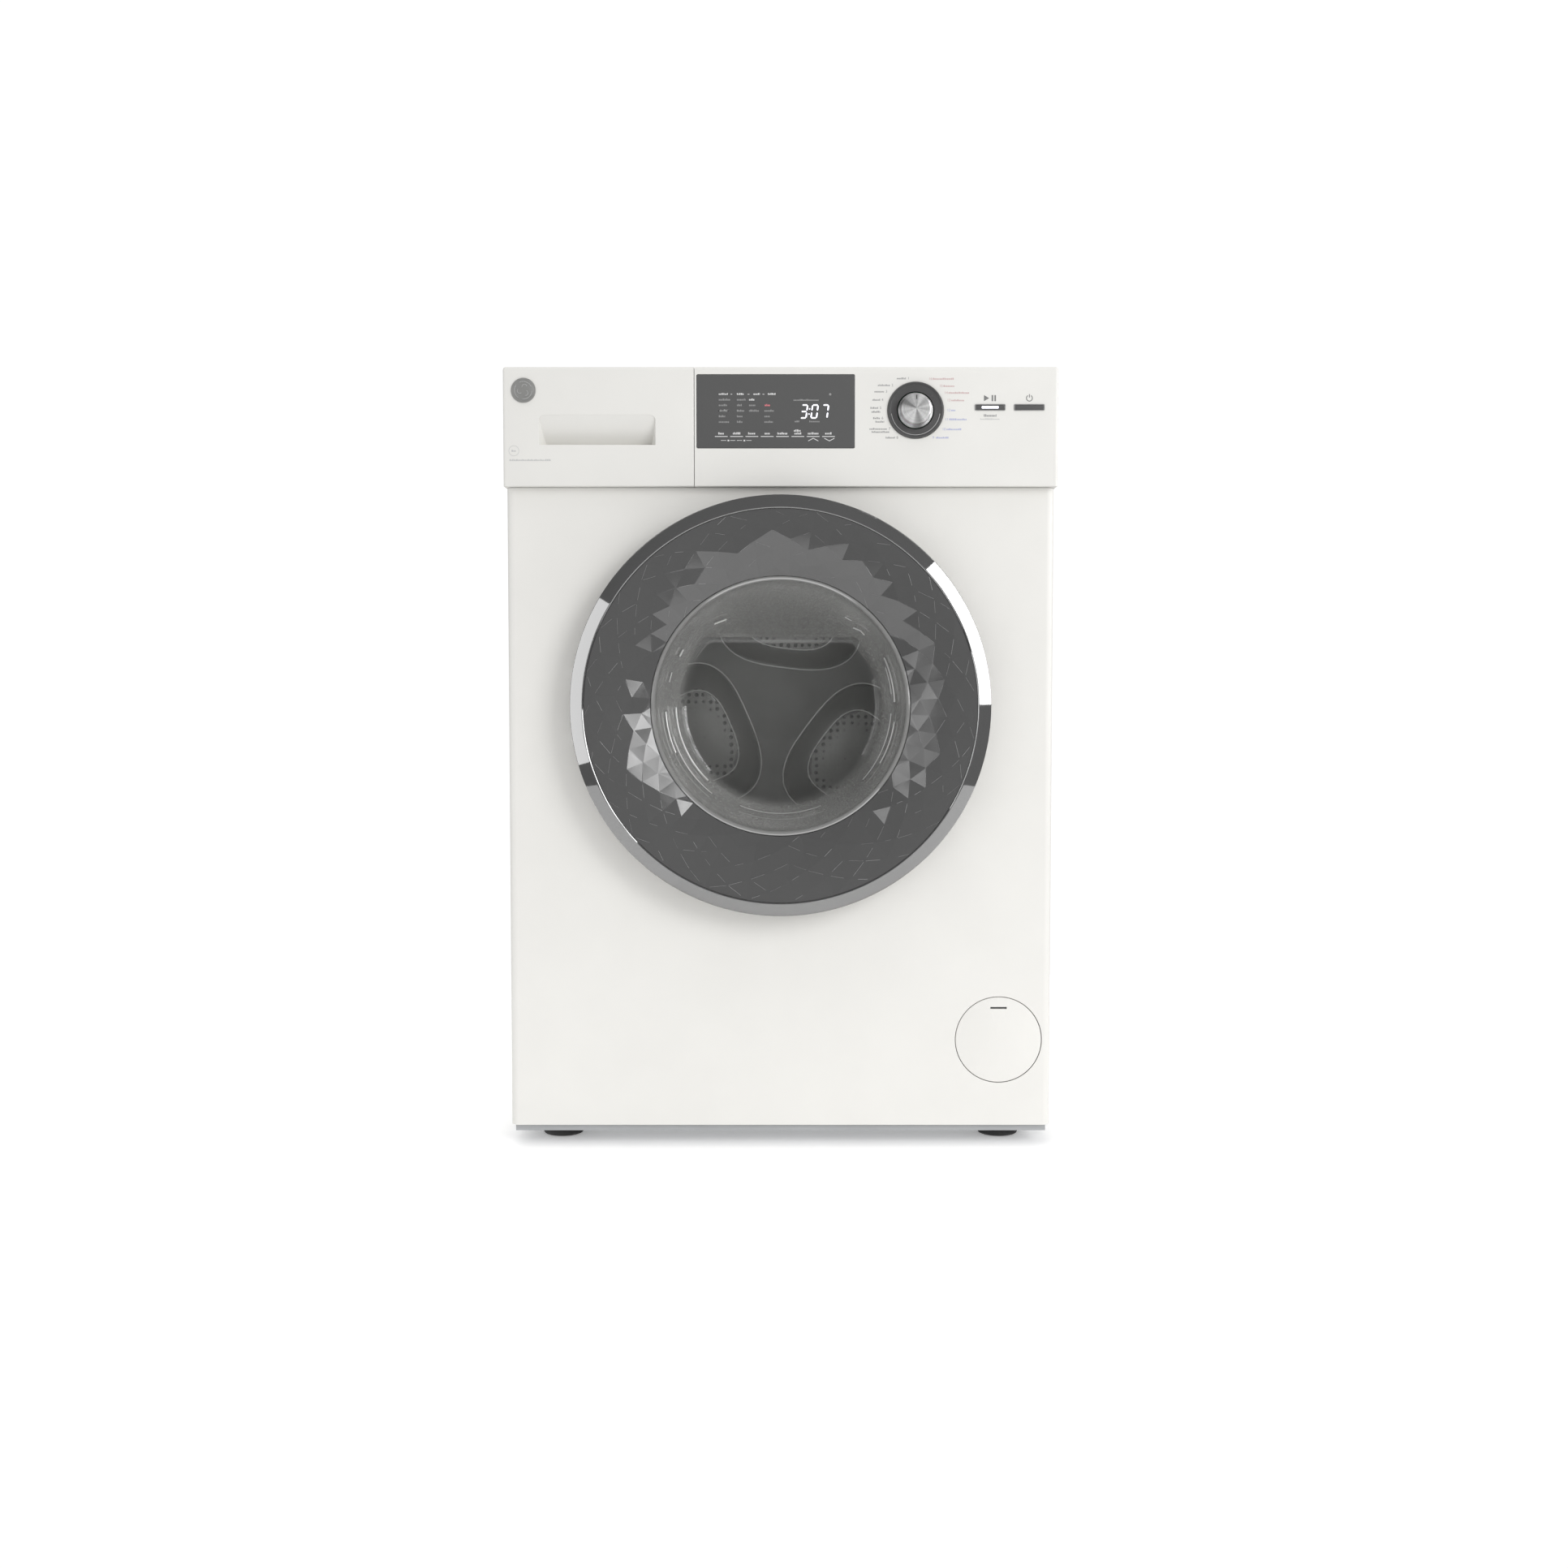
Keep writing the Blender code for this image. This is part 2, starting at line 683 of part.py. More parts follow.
def build_door():
    centre = (0, 0, DRUM_Z)
    hinge = joint_empty("door_hinge", (HINGE_X, HINGE_Y, DRUM_Z))

    trim_profile = [
        (FACE_R - 0.0015, DOOR_FACE_Y + 0.0006),
        (FACE_R, DOOR_FACE_Y),
        (DOOR_R - 0.0006, DOOR_FACE_Y + 0.0112),
        (DOOR_R, DOOR_FACE_Y + 0.0125),
        (DOOR_R, DOOR_FACE_Y + 0.0300),
        (0.2150, DOOR_BACK_Y),
        (FACE_R - 0.0015, DOOR_BACK_Y),
    ]
    trim = turned("door_trim_ring", trim_profile, centre, DARK_GLOSS, steps=DOOR_STEPS)

    rows = 3
    radii = [DISH_OUT_R + (DISH_IN_R - DISH_OUT_R) * step / rows for step in range(rows + 1)]
    dish_profile = [(radius, dish_y(radius)) for radius in radii]
    dish_profile += [(radius, dish_y(radius) + 0.0025) for radius in reversed(radii)]
    dish = turned("door_lens_dish", dish_profile, centre, DARK_GLOSS, steps=DOOR_STEPS)

    bowl_profile = [
        (0, -0.1695),
        (0.1060, -0.1715),
        (0.1150, -0.1790),
        (0.1190, -0.1900),
        (0.1280, -0.2480),
        (0.1345, GLASS_LIP_Y + 0.0015),
        (0.1380, GLASS_LIP_Y),
        (0.1560, GLASS_LIP_Y),
        (0.1560, GLASS_LIP_Y + 0.0045),
        (0.1460, GLASS_LIP_Y + 0.0045),
        (0.1385, GLASS_LIP_Y + 0.0065),
        (0.1325, -0.2500),
        (0.1236, -0.1890),
        (0.1190, -0.1760),
        (0.1085, -0.1668),
        (0, -0.1650),
    ]
    glass = turned("door_glass", bowl_profile, centre, GLASS, steps=BIG_STEPS)

    frame_profile = [
        (0.1450, -0.2862),
        (0.2090, -0.2862),
        (0.2090, DOOR_BACK_Y),
        (0.1480, DOOR_BACK_Y),
        (0.1450, DOOR_BACK_Y - 0.003),
    ]
    frame = turned("door_back_frame", frame_profile, centre, WHITE_PLASTIC, steps=BIG_STEPS)

    arm = box(
        "door_hinge_arm",
        (HINGE_X, -0.2950, DRUM_Z - 0.0315),
        (-0.1680, -0.2830, DRUM_Z + 0.0315),
        CAST,
    )
    knuckle = rod(
        "knuckle",
        0.0035,
        (HINGE_X, HINGE_Y, DRUM_Z - 0.0315),
        (HINGE_X, HINGE_Y, DRUM_Z + 0.0315),
        as_cutter=True,
    )
    pin_bore = rod(
        "knuckle_bore",
        0.0021,
        (HINGE_X, HINGE_Y, DRUM_Z - 0.05),
        (HINGE_X, HINGE_Y, DRUM_Z + 0.05),
        as_cutter=True,
        steps=16,
    )
    nose = box(
        "arm_nose",
        (HINGE_X - 0.01, -0.2970, DRUM_Z - 0.04),
        (HINGE_X + 0.0001, -0.2800, DRUM_Z + 0.04),
        as_cutter=True,
    )
    cut(arm, nose)
    add(arm, knuckle)
    cut(arm, pin_bore)

    pocket = box(
        "arm_pocket",
        (HINGE_X - 0.0042, -0.2973, DRUM_Z - 0.0320),
        (-0.1675, DOOR_BACK_Y + 0.01, DRUM_Z + 0.0320),
        as_cutter=True,
    )
    axle_room = rod(
        "axle_room",
        0.0047,
        (HINGE_X, HINGE_Y, DRUM_Z - 0.0460),
        (HINGE_X, HINGE_Y, DRUM_Z + 0.0460),
        as_cutter=True,
        steps=16,
    )
    cut(trim, pocket, axle_room)
    cut(frame, pocket)
    sweep = arc((HINGE_X, HINGE_Y), 0.0205, 55, 255, 14) + arc((HINGE_X, HINGE_Y), 0.0046, 285, 385, 5)
    for side in (-1, 1):
        middle = DRUM_Z + side * HINGE_LUG_Z
        room = plate("lug_room", sweep, middle - 0.0048, middle + 0.0048, as_cutter=True)
        cut(trim, room)
        cut(frame, room)
        cut(
            trim,
            box(
                "lug_back_room",
                (HINGE_X - 0.0051, HINGE_Y + 0.0007, middle - 0.0051),
                (HINGE_X + 0.0051, DOOR_BACK_Y + 0.0107, middle + 0.0051),
                as_cutter=True,
            ),
        )

    bracket = box(
        "hinge_bracket",
        (HINGE_X - 0.012, PANEL_Y + SHEET + GAP, DRUM_Z - 0.052),
        (HINGE_X + 0.022, PANEL_Y + SHEET + 0.003, DRUM_Z + 0.052),
        ZINC,
    )
    for side in (-1, 1):
        middle = DRUM_Z + side * HINGE_LUG_Z
        low, high = middle - HINGE_LUG_H / 2, middle + HINGE_LUG_H / 2
        lug_end = arc((HINGE_X, HINGE_Y), 0.0035, 180, 360, 8)
        root_y = PANEL_Y + SHEET + 0.001
        outline = lug_end + [(HINGE_X + 0.0035, root_y), (HINGE_X - 0.0035, root_y)]
        add(bracket, plate("lug", outline, low, high, as_cutter=True))
    cut(
        bracket,
        rod(
            "bracket_bore",
            0.0021,
            (HINGE_X, HINGE_Y, DRUM_Z - 0.06),
            (HINGE_X, HINGE_Y, DRUM_Z + 0.06),
            as_cutter=True,
            steps=16,
        ),
    )
    rod(
        "hinge_pin",
        0.0018,
        (HINGE_X, HINGE_Y, DRUM_Z - 0.0425),
        (HINGE_X, HINGE_Y, DRUM_Z + 0.0425),
        ZINC,
        steps=16,
    )

    hook_outline = [
        (0.1875, -0.2761),
        (0.1875, -0.2540),
        (0.1855, -0.2505),
        (0.1855, -0.2475),
        (0.1955, -0.2545),
        (0.1935, -0.2570),
        (0.1925, -0.2761),
    ]
    hook = plate("door_hook", hook_outline, DRUM_Z - 0.004, DRUM_Z + 0.004, ZINC)
    hook_pivot = joint_empty("hook_pivot", (0.1900, -0.2764, DRUM_Z))
    mount_on(hook_pivot, hook)
    mount_on(hinge, trim, dish, glass, frame, arm)

    lock = box(
        "door_lock",
        (0.1700, PANEL_Y + SHEET + GAP, DRUM_Z - 0.030),
        (0.2120, PANEL_Y + 0.034, DRUM_Z + 0.030),
        DARK_PLASTIC,
        bevel=0.0015,
        bevel_steps=1,
    )
    mouth_low = (0.1810, PANEL_Y - 0.01, DRUM_Z - 0.007)
    mouth_high = (0.2010, PANEL_Y + 0.031, DRUM_Z + 0.007)
    cut(lock, box("lock_mouth", mouth_low, mouth_high, as_cutter=True))

    gasket_profile = [
        (0.1590, PANEL_Y - 0.0010),
        (0.1590, PANEL_Y + SHEET + GAP),
        (0.1680, PANEL_Y + SHEET + GAP),
        (0.1680, -0.2300),
        (0.1590, -0.2220),
        (0.1700, -0.2160),
        (0.1700, TUB_FRONT_Y - 0.0120),
        (0.1610, TUB_FRONT_Y - 0.0120),
        (0.1610, TUB_FRONT_Y - 0.0060),
        (0.1560, TUB_FRONT_Y - 0.0060),
        (0.1560, -0.2140),
        (0.1560, -0.2250),
        (0.1640, -0.2320),
        (0.1640, -0.2620),
        (0.1480, -0.2560),
        (0.1415, -0.2580),
        (0.1430, -0.2625),
        (0.1500, PANEL_Y - 0.0010),
    ]
    turned("door_gasket", gasket_profile, centre, RUBBER, steps=BIG_STEPS)


# Wash unit -------------------------------------------------------------------------------------------------

def build_wash_unit():
    centre = (0, 0, DRUM_Z)
    wall = 0.004
    front_profile = [
        (0.1705, TUB_FRONT_Y - 0.0180),
        (0.1705, TUB_FRONT_Y + wall),
        (TUB_R - wall, TUB_FRONT_Y + wall + 0.004),
        (TUB_R - wall, -GAP),
        (TUB_R + 0.007, -GAP),
        (TUB_R + 0.007, -0.006),
        (TUB_R, -0.006),
        (TUB_R, TUB_FRONT_Y + 0.004),
        (0.1745, TUB_FRONT_Y),
        (0.1745, TUB_FRONT_Y - 0.0180),
    ]
    turned("tub_front", front_profile, centre, GREY_PLASTIC)

    rear_wall_y = TUB_REAR_Y - 0.010
    rear_profile = [
        (TUB_R + 0.007, 0),
        (TUB_R + 0.007, 0.006),
        (TUB_R, 0.006),
        (TUB_R, rear_wall_y),
        (0.0450, TUB_REAR_Y),
        (0.0400, TUB_REAR_Y + 0.022),
        (0.0263, TUB_REAR_Y + 0.022),
        (0.0263, rear_wall_y - 0.020),
        (0.0400, rear_wall_y - 0.020),
        (0.0450, rear_wall_y - 0.004),
        (TUB_R - wall, rear_wall_y - wall),
        (TUB_R - wall, 0),
    ]
    rear = turned("tub_rear", rear_profile, centre, GREY_PLASTIC)
    heater_z = DRUM_Z - 0.2455
    for x in (-0.018, 0.018):
        hole = rod("heater_hole", 0.0045, (x, 0.19, heater_z), (x, 0.23, heater_z), as_cutter=True, steps=12)
        cut(rear, hole)

    bend = arc((0, -0.140), 0.018, 0, -180, 8)
    route = [(0.018, 0.2240, heater_z)] + [(x, y, heater_z) for x, y in bend] + [(-0.018, 0.2240, heater_z)]
    tube("heater", route, 0.0030, STAINLESS)

    for name, y in (("bearing_front", 0.1860), ("bearing_rear", 0.2200)):
        race = [(0.0128, y), (0.0128, y + 0.015), (0.0260, y + 0.015), (0.0260, y)]
        turned(name, race, centre, ZINC, steps=MID_STEPS)

    spin = joint_empty("drum_axis", centre)
    drum_profile = [
        (0.1660, -0.1930),
        (0.1660, -0.1860),
        (DRUM_R - 0.012, -0.1830),
        (DRUM_R - 0.002, -0.1740),
        (DRUM_R - 0.002, 0.1540),
        (0, 0.1500),
        (0, 0.1520),
        (DRUM_R - 0.004, 0.1560),
        (DRUM_R, 0.1560),
        (DRUM_R, -0.1750),
        (DRUM_R - 0.011, -0.1850),
        (0.1680, -0.1880),
        (0.1680, -0.1930),
    ]
    drum = turned("drum_shell", drum_profile, centre, STAINLESS)
    drum_parts = [drum]
    for index in range(3):
        angle = math.radians(90 + 120 * index)
        half = [(0.010, 0.040), (0.026, 0.026), (0.036, 0.0)]
        profile = [(-side, rise) for side, rise in reversed(half)] + half
        base = DRUM_R - 0.0075
        outward = Vector((math.cos(angle), 0, math.sin(angle)))
        across = Vector((-math.sin(angle), 0, math.cos(angle)))
        bm = bmesh.new()
        rings = []
        for y, scale in ((-0.165, 0.55), (-0.135, 0.95), (0.110, 1.0), (0.140, 0.75)):
            ring = []
            for side, height in profile:
                spot = outward * (base - height * scale) + across * side * scale
                ring.append(bm.verts.new((spot.x, y, spot.z)))
            rings.append(ring)
        for first, second in zip(rings, rings[1:]):
            for corner in range(len(profile)):
                following = (corner + 1) % len(profile)
                bm.faces.new((first[corner], first[following], second[following], second[corner]))
        bm.faces.new(rings[0])
        bm.faces.new(list(reversed(rings[-1])))
        baffle = from_bmesh(f"baffle_{index + 1}", bm, DARK_PLASTIC)
        baffle.location = centre
        drum_parts.append(baffle)

    spider = rod("drum_spider", 0.034, (0, 0.1563, DRUM_Z), (0, 0.1780, DRUM_Z), CAST, steps=SMALL_STEPS)
    for index in range(3):
        angle = math.radians(30 + 120 * index)
        arm = box("spider_arm", (0.0, -0.0085, -0.014), (0.228, 0.0085, 0.014), as_cutter=True)
        turn = Matrix.Rotation(-angle, 4, "Y")
        arm.matrix_world = Matrix.Translation((0, 0.1656, DRUM_Z)) @ turn @ Matrix.Translation((0.114, 0, 0))
        add(spider, arm)
    cut(spider, rod("shaft_bore", 0.0128, (0, 0.10, DRUM_Z), (0, 0.20, DRUM_Z), as_cutter=True))
    shaft = rod("drum_shaft", 0.0125, (0, 0.1600, DRUM_Z), (0, 0.2660, DRUM_Z), STAINLESS, steps=SMALL_STEPS)

    low_y, high_y = PULLEY_Y
    pulley_profile = [
        (PULLEY_R, low_y),
        (PULLEY_R, high_y),
        (PULLEY_R - 0.008, high_y),
        (PULLEY_R - 0.008, 0.2570),
        (0.0300, 0.2560),
        (0.0300, high_y),
        (0.0128, high_y),
        (0.0128, low_y),
        (0.0300, low_y),
        (0.0300, 0.2520),
        (PULLEY_R - 0.008, 0.2530),
        (PULLEY_R - 0.008, low_y),
    ]
    pulley = turned("drum_pulley", pulley_profile, centre, CAST)
    for index in range(5):
        angle = math.radians(72 * index)
        spot = (0.082 * math.cos(angle), DRUM_Z + 0.082 * math.sin(angle))
        x, z = spot
        window = rod("pulley_window", 0.030, (x, 0.24, z), (x, 0.27, z), as_cutter=True, steps=10)
        cut(pulley, window)
    drum_parts += [spider, shaft, pulley]
    mount_on(spin, *drum_parts)

    build_belt(low_y + 0.001, high_y - 0.001)
    build_motor()
    build_weights()


def build_belt(low_y, high_y):
    """A flat loop round the drum pulley and the motor pulley."""
    big, small = Vector((0, DRUM_Z)), Vector((MOTOR_X, MOTOR_Z))
    line = small - big
    heading = math.degrees(math.atan2(line.y, line.x))
    loops = []
    for offset in (GAP, 0.0033):
        big_r, small_r = PULLEY_R + offset, MOTOR_PULLEY_R + offset
        lean = math.degrees(math.acos((big_r - small_r) / line.length))
        loop = arc(big, big_r, heading + lean, heading + 360 - lean, 44)
        loop += arc(small, small_r, heading - lean, heading + lean, 12)
        loops.append(loop)
    inner, outer = loops
    belt = plate("drive_belt", outer, low_y, high_y, RUBBER, axis="Y")
    cut(belt, plate("belt_inside", inner, low_y - 0.01, high_y + 0.01, as_cutter=True, axis="Y"))


def build_motor():
    motor = rod("motor", 0.056, (MOTOR_X, 0.060, MOTOR_Z), (MOTOR_X, 0.205, MOTOR_Z), ZINC, steps=MID_STEPS)
    for left, right in ((-0.075, -0.030), (0.030, 0.075)):
        foot_low = (MOTOR_X + left, 0.080, MOTOR_Z + 0.020)
        foot_high = (MOTOR_X + right, 0.185, MOTOR_Z + 0.040)
        add(motor, box("motor_foot", foot_low, foot_high, as_cutter=True))
    pulley_profile = [
        (0, 0.2057),
        (0.0070, 0.2057),
        (0.0070, PULLEY_Y[0] - 0.002),
        (MOTOR_PULLEY_R, PULLEY_Y[0] - 0.002),
        (MOTOR_PULLEY_R, PULLEY_Y[1] + 0.001),
        (0, PULLEY_Y[1] + 0.001),
    ]
    centre = (MOTOR_X, 0, MOTOR_Z)
    pulley = turned("motor_pulley", pulley_profile, centre, STAINLESS, steps=SMALL_STEPS)
    mount_on(joint_empty("motor_axis", centre), pulley)


def build_weights():
    ring = arc((0, DRUM_Z), 0.246, 200, 340, 16) + arc((0, DRUM_Z), 0.186, 340, 200, 14)
    plate("front_counterweight", ring, -0.2420, TUB_FRONT_Y - 0.0030, CONCRETE, axis="Y")
    cradle = arc((0, DRUM_Z), TUB_R + 0.0080, 112, 58, 10)
    block = cradle + [(0.1400, 0.8050), (-0.0850, 0.8050), (-0.0930, 0.7700)]
    plate("top_counterweight", block, -0.1600, 0.1500, CONCRETE, axis="Y")


def build_suspension():
    for side, name in ((-1, "spring_left"), (1, "spring_right")):
        x = side * 0.2600
        coil = helix((x, 0.050), 0.0110, 0.660, 0.760, 7, 6)
        first, last = Vector(coil[0]), Vector(coil[-1])
        route = [(first.x, first.y, 0.630)] + coil + [(last.x, last.y, 0.8000)]
        tube(name, route, 0.0016, ZINC, resolution=1)
    for side, name in ((-1, "damper_left"), (1, "damper_right")):
        low, high = Vector((side * 0.2150, 0.030, 0.0300)), Vector((side * 0.1700, 0.030, 0.2750))
        run = high - low
        damper = rod(name, 0.0145, low, low + run * 0.6, DARK_PLASTIC)
        add(damper, rod("damper_rod", 0.0070, low + run * 0.5, high, as_cutter=True))


def build_water():
    pump_axis = (PUMP_X - 0.003, 0, PUMP_Z)
    housing_profile = [
        (0.0330, PANEL_Y + 0.0140),
        (0.0330, -0.1720),
        (0.0300, -0.1650),
        (0.0300, -0.1300),
        (0, -0.1300),
        (0, -0.1330),
        (0.0265, -0.1330),
        (0.0265, -0.1650),
        (0.0300, -0.1730),
        (0.0300, PANEL_Y + 0.0140),
    ]
    turned("pump_housing", housing_profile, pump_axis, GREY_PLASTIC, steps=MID_STEPS)
    cap_profile = [
        (0, PANEL_Y + 0.0200),
        (0.0290, PANEL_Y + 0.0200),
        (0.0290, -0.2300),
        (0.0200, -0.2290),
        (0.0200, -0.1900),
        (0, -0.1900),
    ]
    cap = turned("filter_cap", cap_profile, pump_axis, DARK_PLASTIC, steps=MID_STEPS)
    grip = box(
        "cap_grip",
        (pump_axis[0] - 0.020, PANEL_Y + 0.0070, PUMP_Z - 0.0035),
        (pump_axis[0] + 0.020, PANEL_Y + 0.0210, PUMP_Z + 0.0035),
        as_cutter=True,
    )
    add(cap, grip)
    mount_on(joint_empty("filter_axis", pump_axis), cap)

    impeller = rod("pump_impeller", 0.0060, (pump_axis[0], -0.1600, PUMP_Z), (pump_axis[0], -0.1345, PUMP_Z),
                   GREY_PLASTIC, steps=12)
    for turn in (0, 90):
        blade = box("blade", (-0.0220, -0.0070, -0.0012), (0.0220, 0.0070, 0.0012), as_cutter=True)
        blade.rotation_euler = (0, math.radians(turn), 0)
        blade.location = (pump_axis[0], -0.1500, PUMP_Z)
        add(impeller, blade)
    mount_on(joint_empty("impeller_axis", pump_axis), impeller)

    cover = rod(
        "pump_cover",
        PUMP_COVER_R,
        (PUMP_X, PANEL_Y + 0.0022, PUMP_Z),
        (PUMP_X, PANEL_Y - 0.0002, PUMP_Z),
        ENAMEL,
        steps=40,
    )
    cut(
        cover,
        box(
            "pry_slot",
            (PUMP_X - 0.0090, PANEL_Y - 0.01, PUMP_Z + PUMP_COVER_R - 0.0130),
            (PUMP_X + 0.0090, PANEL_Y + 0.01, PUMP_Z + PUMP_COVER_R - 0.0108),
            as_cutter=True,
        ),
    )
    mount_on(joint_empty("cover_hinge", (PUMP_X, PANEL_Y - 0.0012, PUMP_Z - PUMP_COVER_R + 0.0020)), cover)

    sump = [
        Vector((0.1000, -0.0600, 0.2380)),
        Vector((0.1100, -0.0700, 0.1900)),
        Vector((0.1500, -0.1100, 0.1350)),
        Vector((0.1850, -0.1550, 0.1166)),
        Vector((0.2010, -0.1550, 0.1166)),
    ]
    tube("sump_hose", smooth_route(sump, 4), 0.0130, RUBBER, resolution=3)

    valve = box("inlet_valve", (0.1450, 0.2300, 0.7550), (0.2350, 0.2870, 0.7950), WHITE_PLASTIC)
    for x in INLETS_X:
        add(valve, rod("thread", 0.0130, (x, 0.2800, INLET_Z), (x, DEPTH / 2, INLET_Z), as_cutter=True))
        mouth, depth = (x, 0.3300, INLET_Z), (x, 0.3000, INLET_Z)
        cut(valve, rod("thread_bore", 0.0085, depth, mouth, as_cutter=True, steps=16))
    fill = [
        Vector((0.1900, 0.2285, 0.7760)),
        Vector((0.1900, 0.2050, 0.7765)),
        Vector((0.1500, 0.1700, 0.7950)),
        Vector((0.0000, 0.1650, 0.8000)),
        Vector((-0.1400, 0.1550, 0.7950)),
        Vector((-0.1850, 0.0800, 0.7850)),
        Vector((-0.1900, -0.0240, 0.7800)),
    ]
    tube("fill_hose", smooth_route(fill, 4), 0.0075, RUBBER, resolution=2)

    inside_y = REAR_Y - SHEET - GAP  # a flange against the rear wall's inner face
    outlet_profile = [
        (0.0100, 0.2640),
        (0.0100, 0.3140),
        (0.0150, 0.3140),
        (0.0150, inside_y),
        (0.0200, inside_y),
        (0.0200, 0.2640),
    ]
    turned("drain_outlet", outlet_profile, (OUTLET_X, 0, OUTLET_Z), GREY_PLASTIC, steps=SMALL_STEPS)
    gland_profile = [
        (0.0045, 0.2800),
        (0.0045, 0.3060),
        (0.0075, 0.3060),
        (0.0100, 0.2920),
        (0.0100, inside_y),
        (0.0140, inside_y),
        (0.0140, 0.2800),
    ]
    turned("mains_gland", gland_profile, (GLAND_X, 0, GLAND_Z), DARK_PLASTIC, steps=SMALL_STEPS)


def smooth_route(points, per_span):
    """Points on a smooth curve through the given ones."""
    padded = [points[0] * 2 - points[1]] + points + [points[-1] * 2 - points[-2]]
    found = []
    for index in range(1, len(padded) - 2):
        before, start, end, after = padded[index - 1:index + 3]
        for step in range(per_span):
            t = step / per_span
            found.append(
                0.5 * ((2 * start) + (end - before) * t + (2 * before - 5 * start + 4 * end - after) * t * t
                       + (3 * start - before - 3 * end + after) * t * t * t)
            )
    found.append(points[-1])
    return found


build_cabinet()
build_front_panel()
build_feet()
build_console()
build_drawer()
build_door()
build_wash_unit()
build_suspension()
build_water()

for part in PARTS.objects:
    if part.type == "MESH":
        part.data.shade_smooth()
        part.data.set_sharp_from_angle(angle=math.radians(35))
bpy.context.view_layer.update()
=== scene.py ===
"""Looks of a compact front load washing machine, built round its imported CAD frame.

Metres, +Z up, the machine's front towards -Y.
"""
import json
import math
import random

import bmesh
import bpy
from mathutils import Matrix, Vector


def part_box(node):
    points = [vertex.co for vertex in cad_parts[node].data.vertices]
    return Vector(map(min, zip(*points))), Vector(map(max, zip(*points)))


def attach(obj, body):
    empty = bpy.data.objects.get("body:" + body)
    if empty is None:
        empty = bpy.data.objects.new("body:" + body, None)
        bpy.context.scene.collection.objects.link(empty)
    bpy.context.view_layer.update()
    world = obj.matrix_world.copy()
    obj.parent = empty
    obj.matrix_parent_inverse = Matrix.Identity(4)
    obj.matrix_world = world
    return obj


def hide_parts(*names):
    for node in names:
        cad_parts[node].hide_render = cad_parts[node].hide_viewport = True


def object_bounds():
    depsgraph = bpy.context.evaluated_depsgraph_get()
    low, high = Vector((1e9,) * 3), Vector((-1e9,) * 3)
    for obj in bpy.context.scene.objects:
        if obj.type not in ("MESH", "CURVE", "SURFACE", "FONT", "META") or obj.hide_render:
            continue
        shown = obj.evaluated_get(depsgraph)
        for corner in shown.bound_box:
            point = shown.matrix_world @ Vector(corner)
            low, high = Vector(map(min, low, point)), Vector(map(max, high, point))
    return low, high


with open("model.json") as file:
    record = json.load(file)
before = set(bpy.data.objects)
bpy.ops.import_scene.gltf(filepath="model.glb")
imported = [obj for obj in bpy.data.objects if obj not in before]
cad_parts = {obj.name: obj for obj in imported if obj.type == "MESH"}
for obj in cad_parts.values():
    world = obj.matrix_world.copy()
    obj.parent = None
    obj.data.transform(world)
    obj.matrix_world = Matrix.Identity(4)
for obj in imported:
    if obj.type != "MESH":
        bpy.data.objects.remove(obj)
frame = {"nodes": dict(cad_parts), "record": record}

cad_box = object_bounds()
CAD = {name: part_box(name) for name in frame["nodes"]}

# Places read from the frame
DOOR_LOW, DOOR_HIGH = CAD["door_trim_ring"]
AXIS_Z = (DOOR_LOW.z + DOOR_HIGH.z) / 2
DOOR_R = (DOOR_HIGH.x - DOOR_LOW.x) / 2
DOOR_FACE_Y = DOOR_LOW.y
DOOR_BACK_Y = DOOR_HIGH.y
PANEL_LOW, PANEL_HIGH = CAD["front_panel"]
PANEL_Y = PANEL_LOW.y
CONSOLE_LOW, CONSOLE_HIGH = CAD["console_fascia"]
DRAWER_LOW, DRAWER_HIGH = CAD["drawer_front"]
CONSOLE_Y = CONSOLE_LOW.y
REAR_Y = CAD["cabinet_wrap"][1].y
AXIS = Vector((0, 0, AXIS_Z))

# Places that the frame's boxes do not show, as the CAD has them
FACE_R = 0.2110
DISH_OUT_R = 0.2092
DISH_IN_R = 0.1400
HINGE = Vector((-0.2191, -0.2925, AXIS_Z))
LUG_Z = 0.0362

# Studio light: strengths, and powers in watts
WORLD_STRENGTH = 0.725
RIGHT_CARD = 8.0
LEFT_CARD = 2.7
KEY_POWER = 47.0
TOP_POWER = 12.0
REAR_POWER = 38.0
DRUM_POWER = 0.24
WHITE = (1, 1, 1, 1)

PRINT = (0.00012, 0.00001)  # how far the front and back of a printed mark stand off its face
PANE_PRINT = (0.00015, 0.00002)
UPRIGHT = Matrix.Rotation(math.pi / 2, 4, "X")  # turns a flat drawing to face -Y


# Node materials --------------------------------------------------------------------------------------------

def set_inputs(tree, node, values):
    """Gives inputs their values, or links them to another node's output."""
    for key, value in values.items():
        if isinstance(value, bpy.types.NodeSocket):
            tree.links.new(value, node.inputs[key])
        else:
            node.inputs[key].default_value = value


def add_node(tree, kind, inputs=None, **settings):
    """A new shader node with its settings made and its inputs set."""
    made = tree.nodes.new("ShaderNode" + kind)
    for key, value in settings.items():
        setattr(made, key, value)
    set_inputs(tree, made, inputs or {})
    return made


def new_material(name):
    made = bpy.data.materials.new(name)
    made.use_nodes = True
    return made, made.node_tree, made.node_tree.nodes["Principled BSDF"]


def bare_material(name):
    """A material with nothing but its output node."""
    made = bpy.data.materials.new(name)
    made.use_nodes = True
    made.node_tree.nodes.clear()
    return made, made.node_tree, add_node(made.node_tree, "OutputMaterial")


def own_place(tree):
    return add_node(tree, "TexCoord").outputs["Object"]


def calculate(tree, kind, *values):
    return add_node(tree, "Math", dict(enumerate(values)), operation=kind).outputs[0]


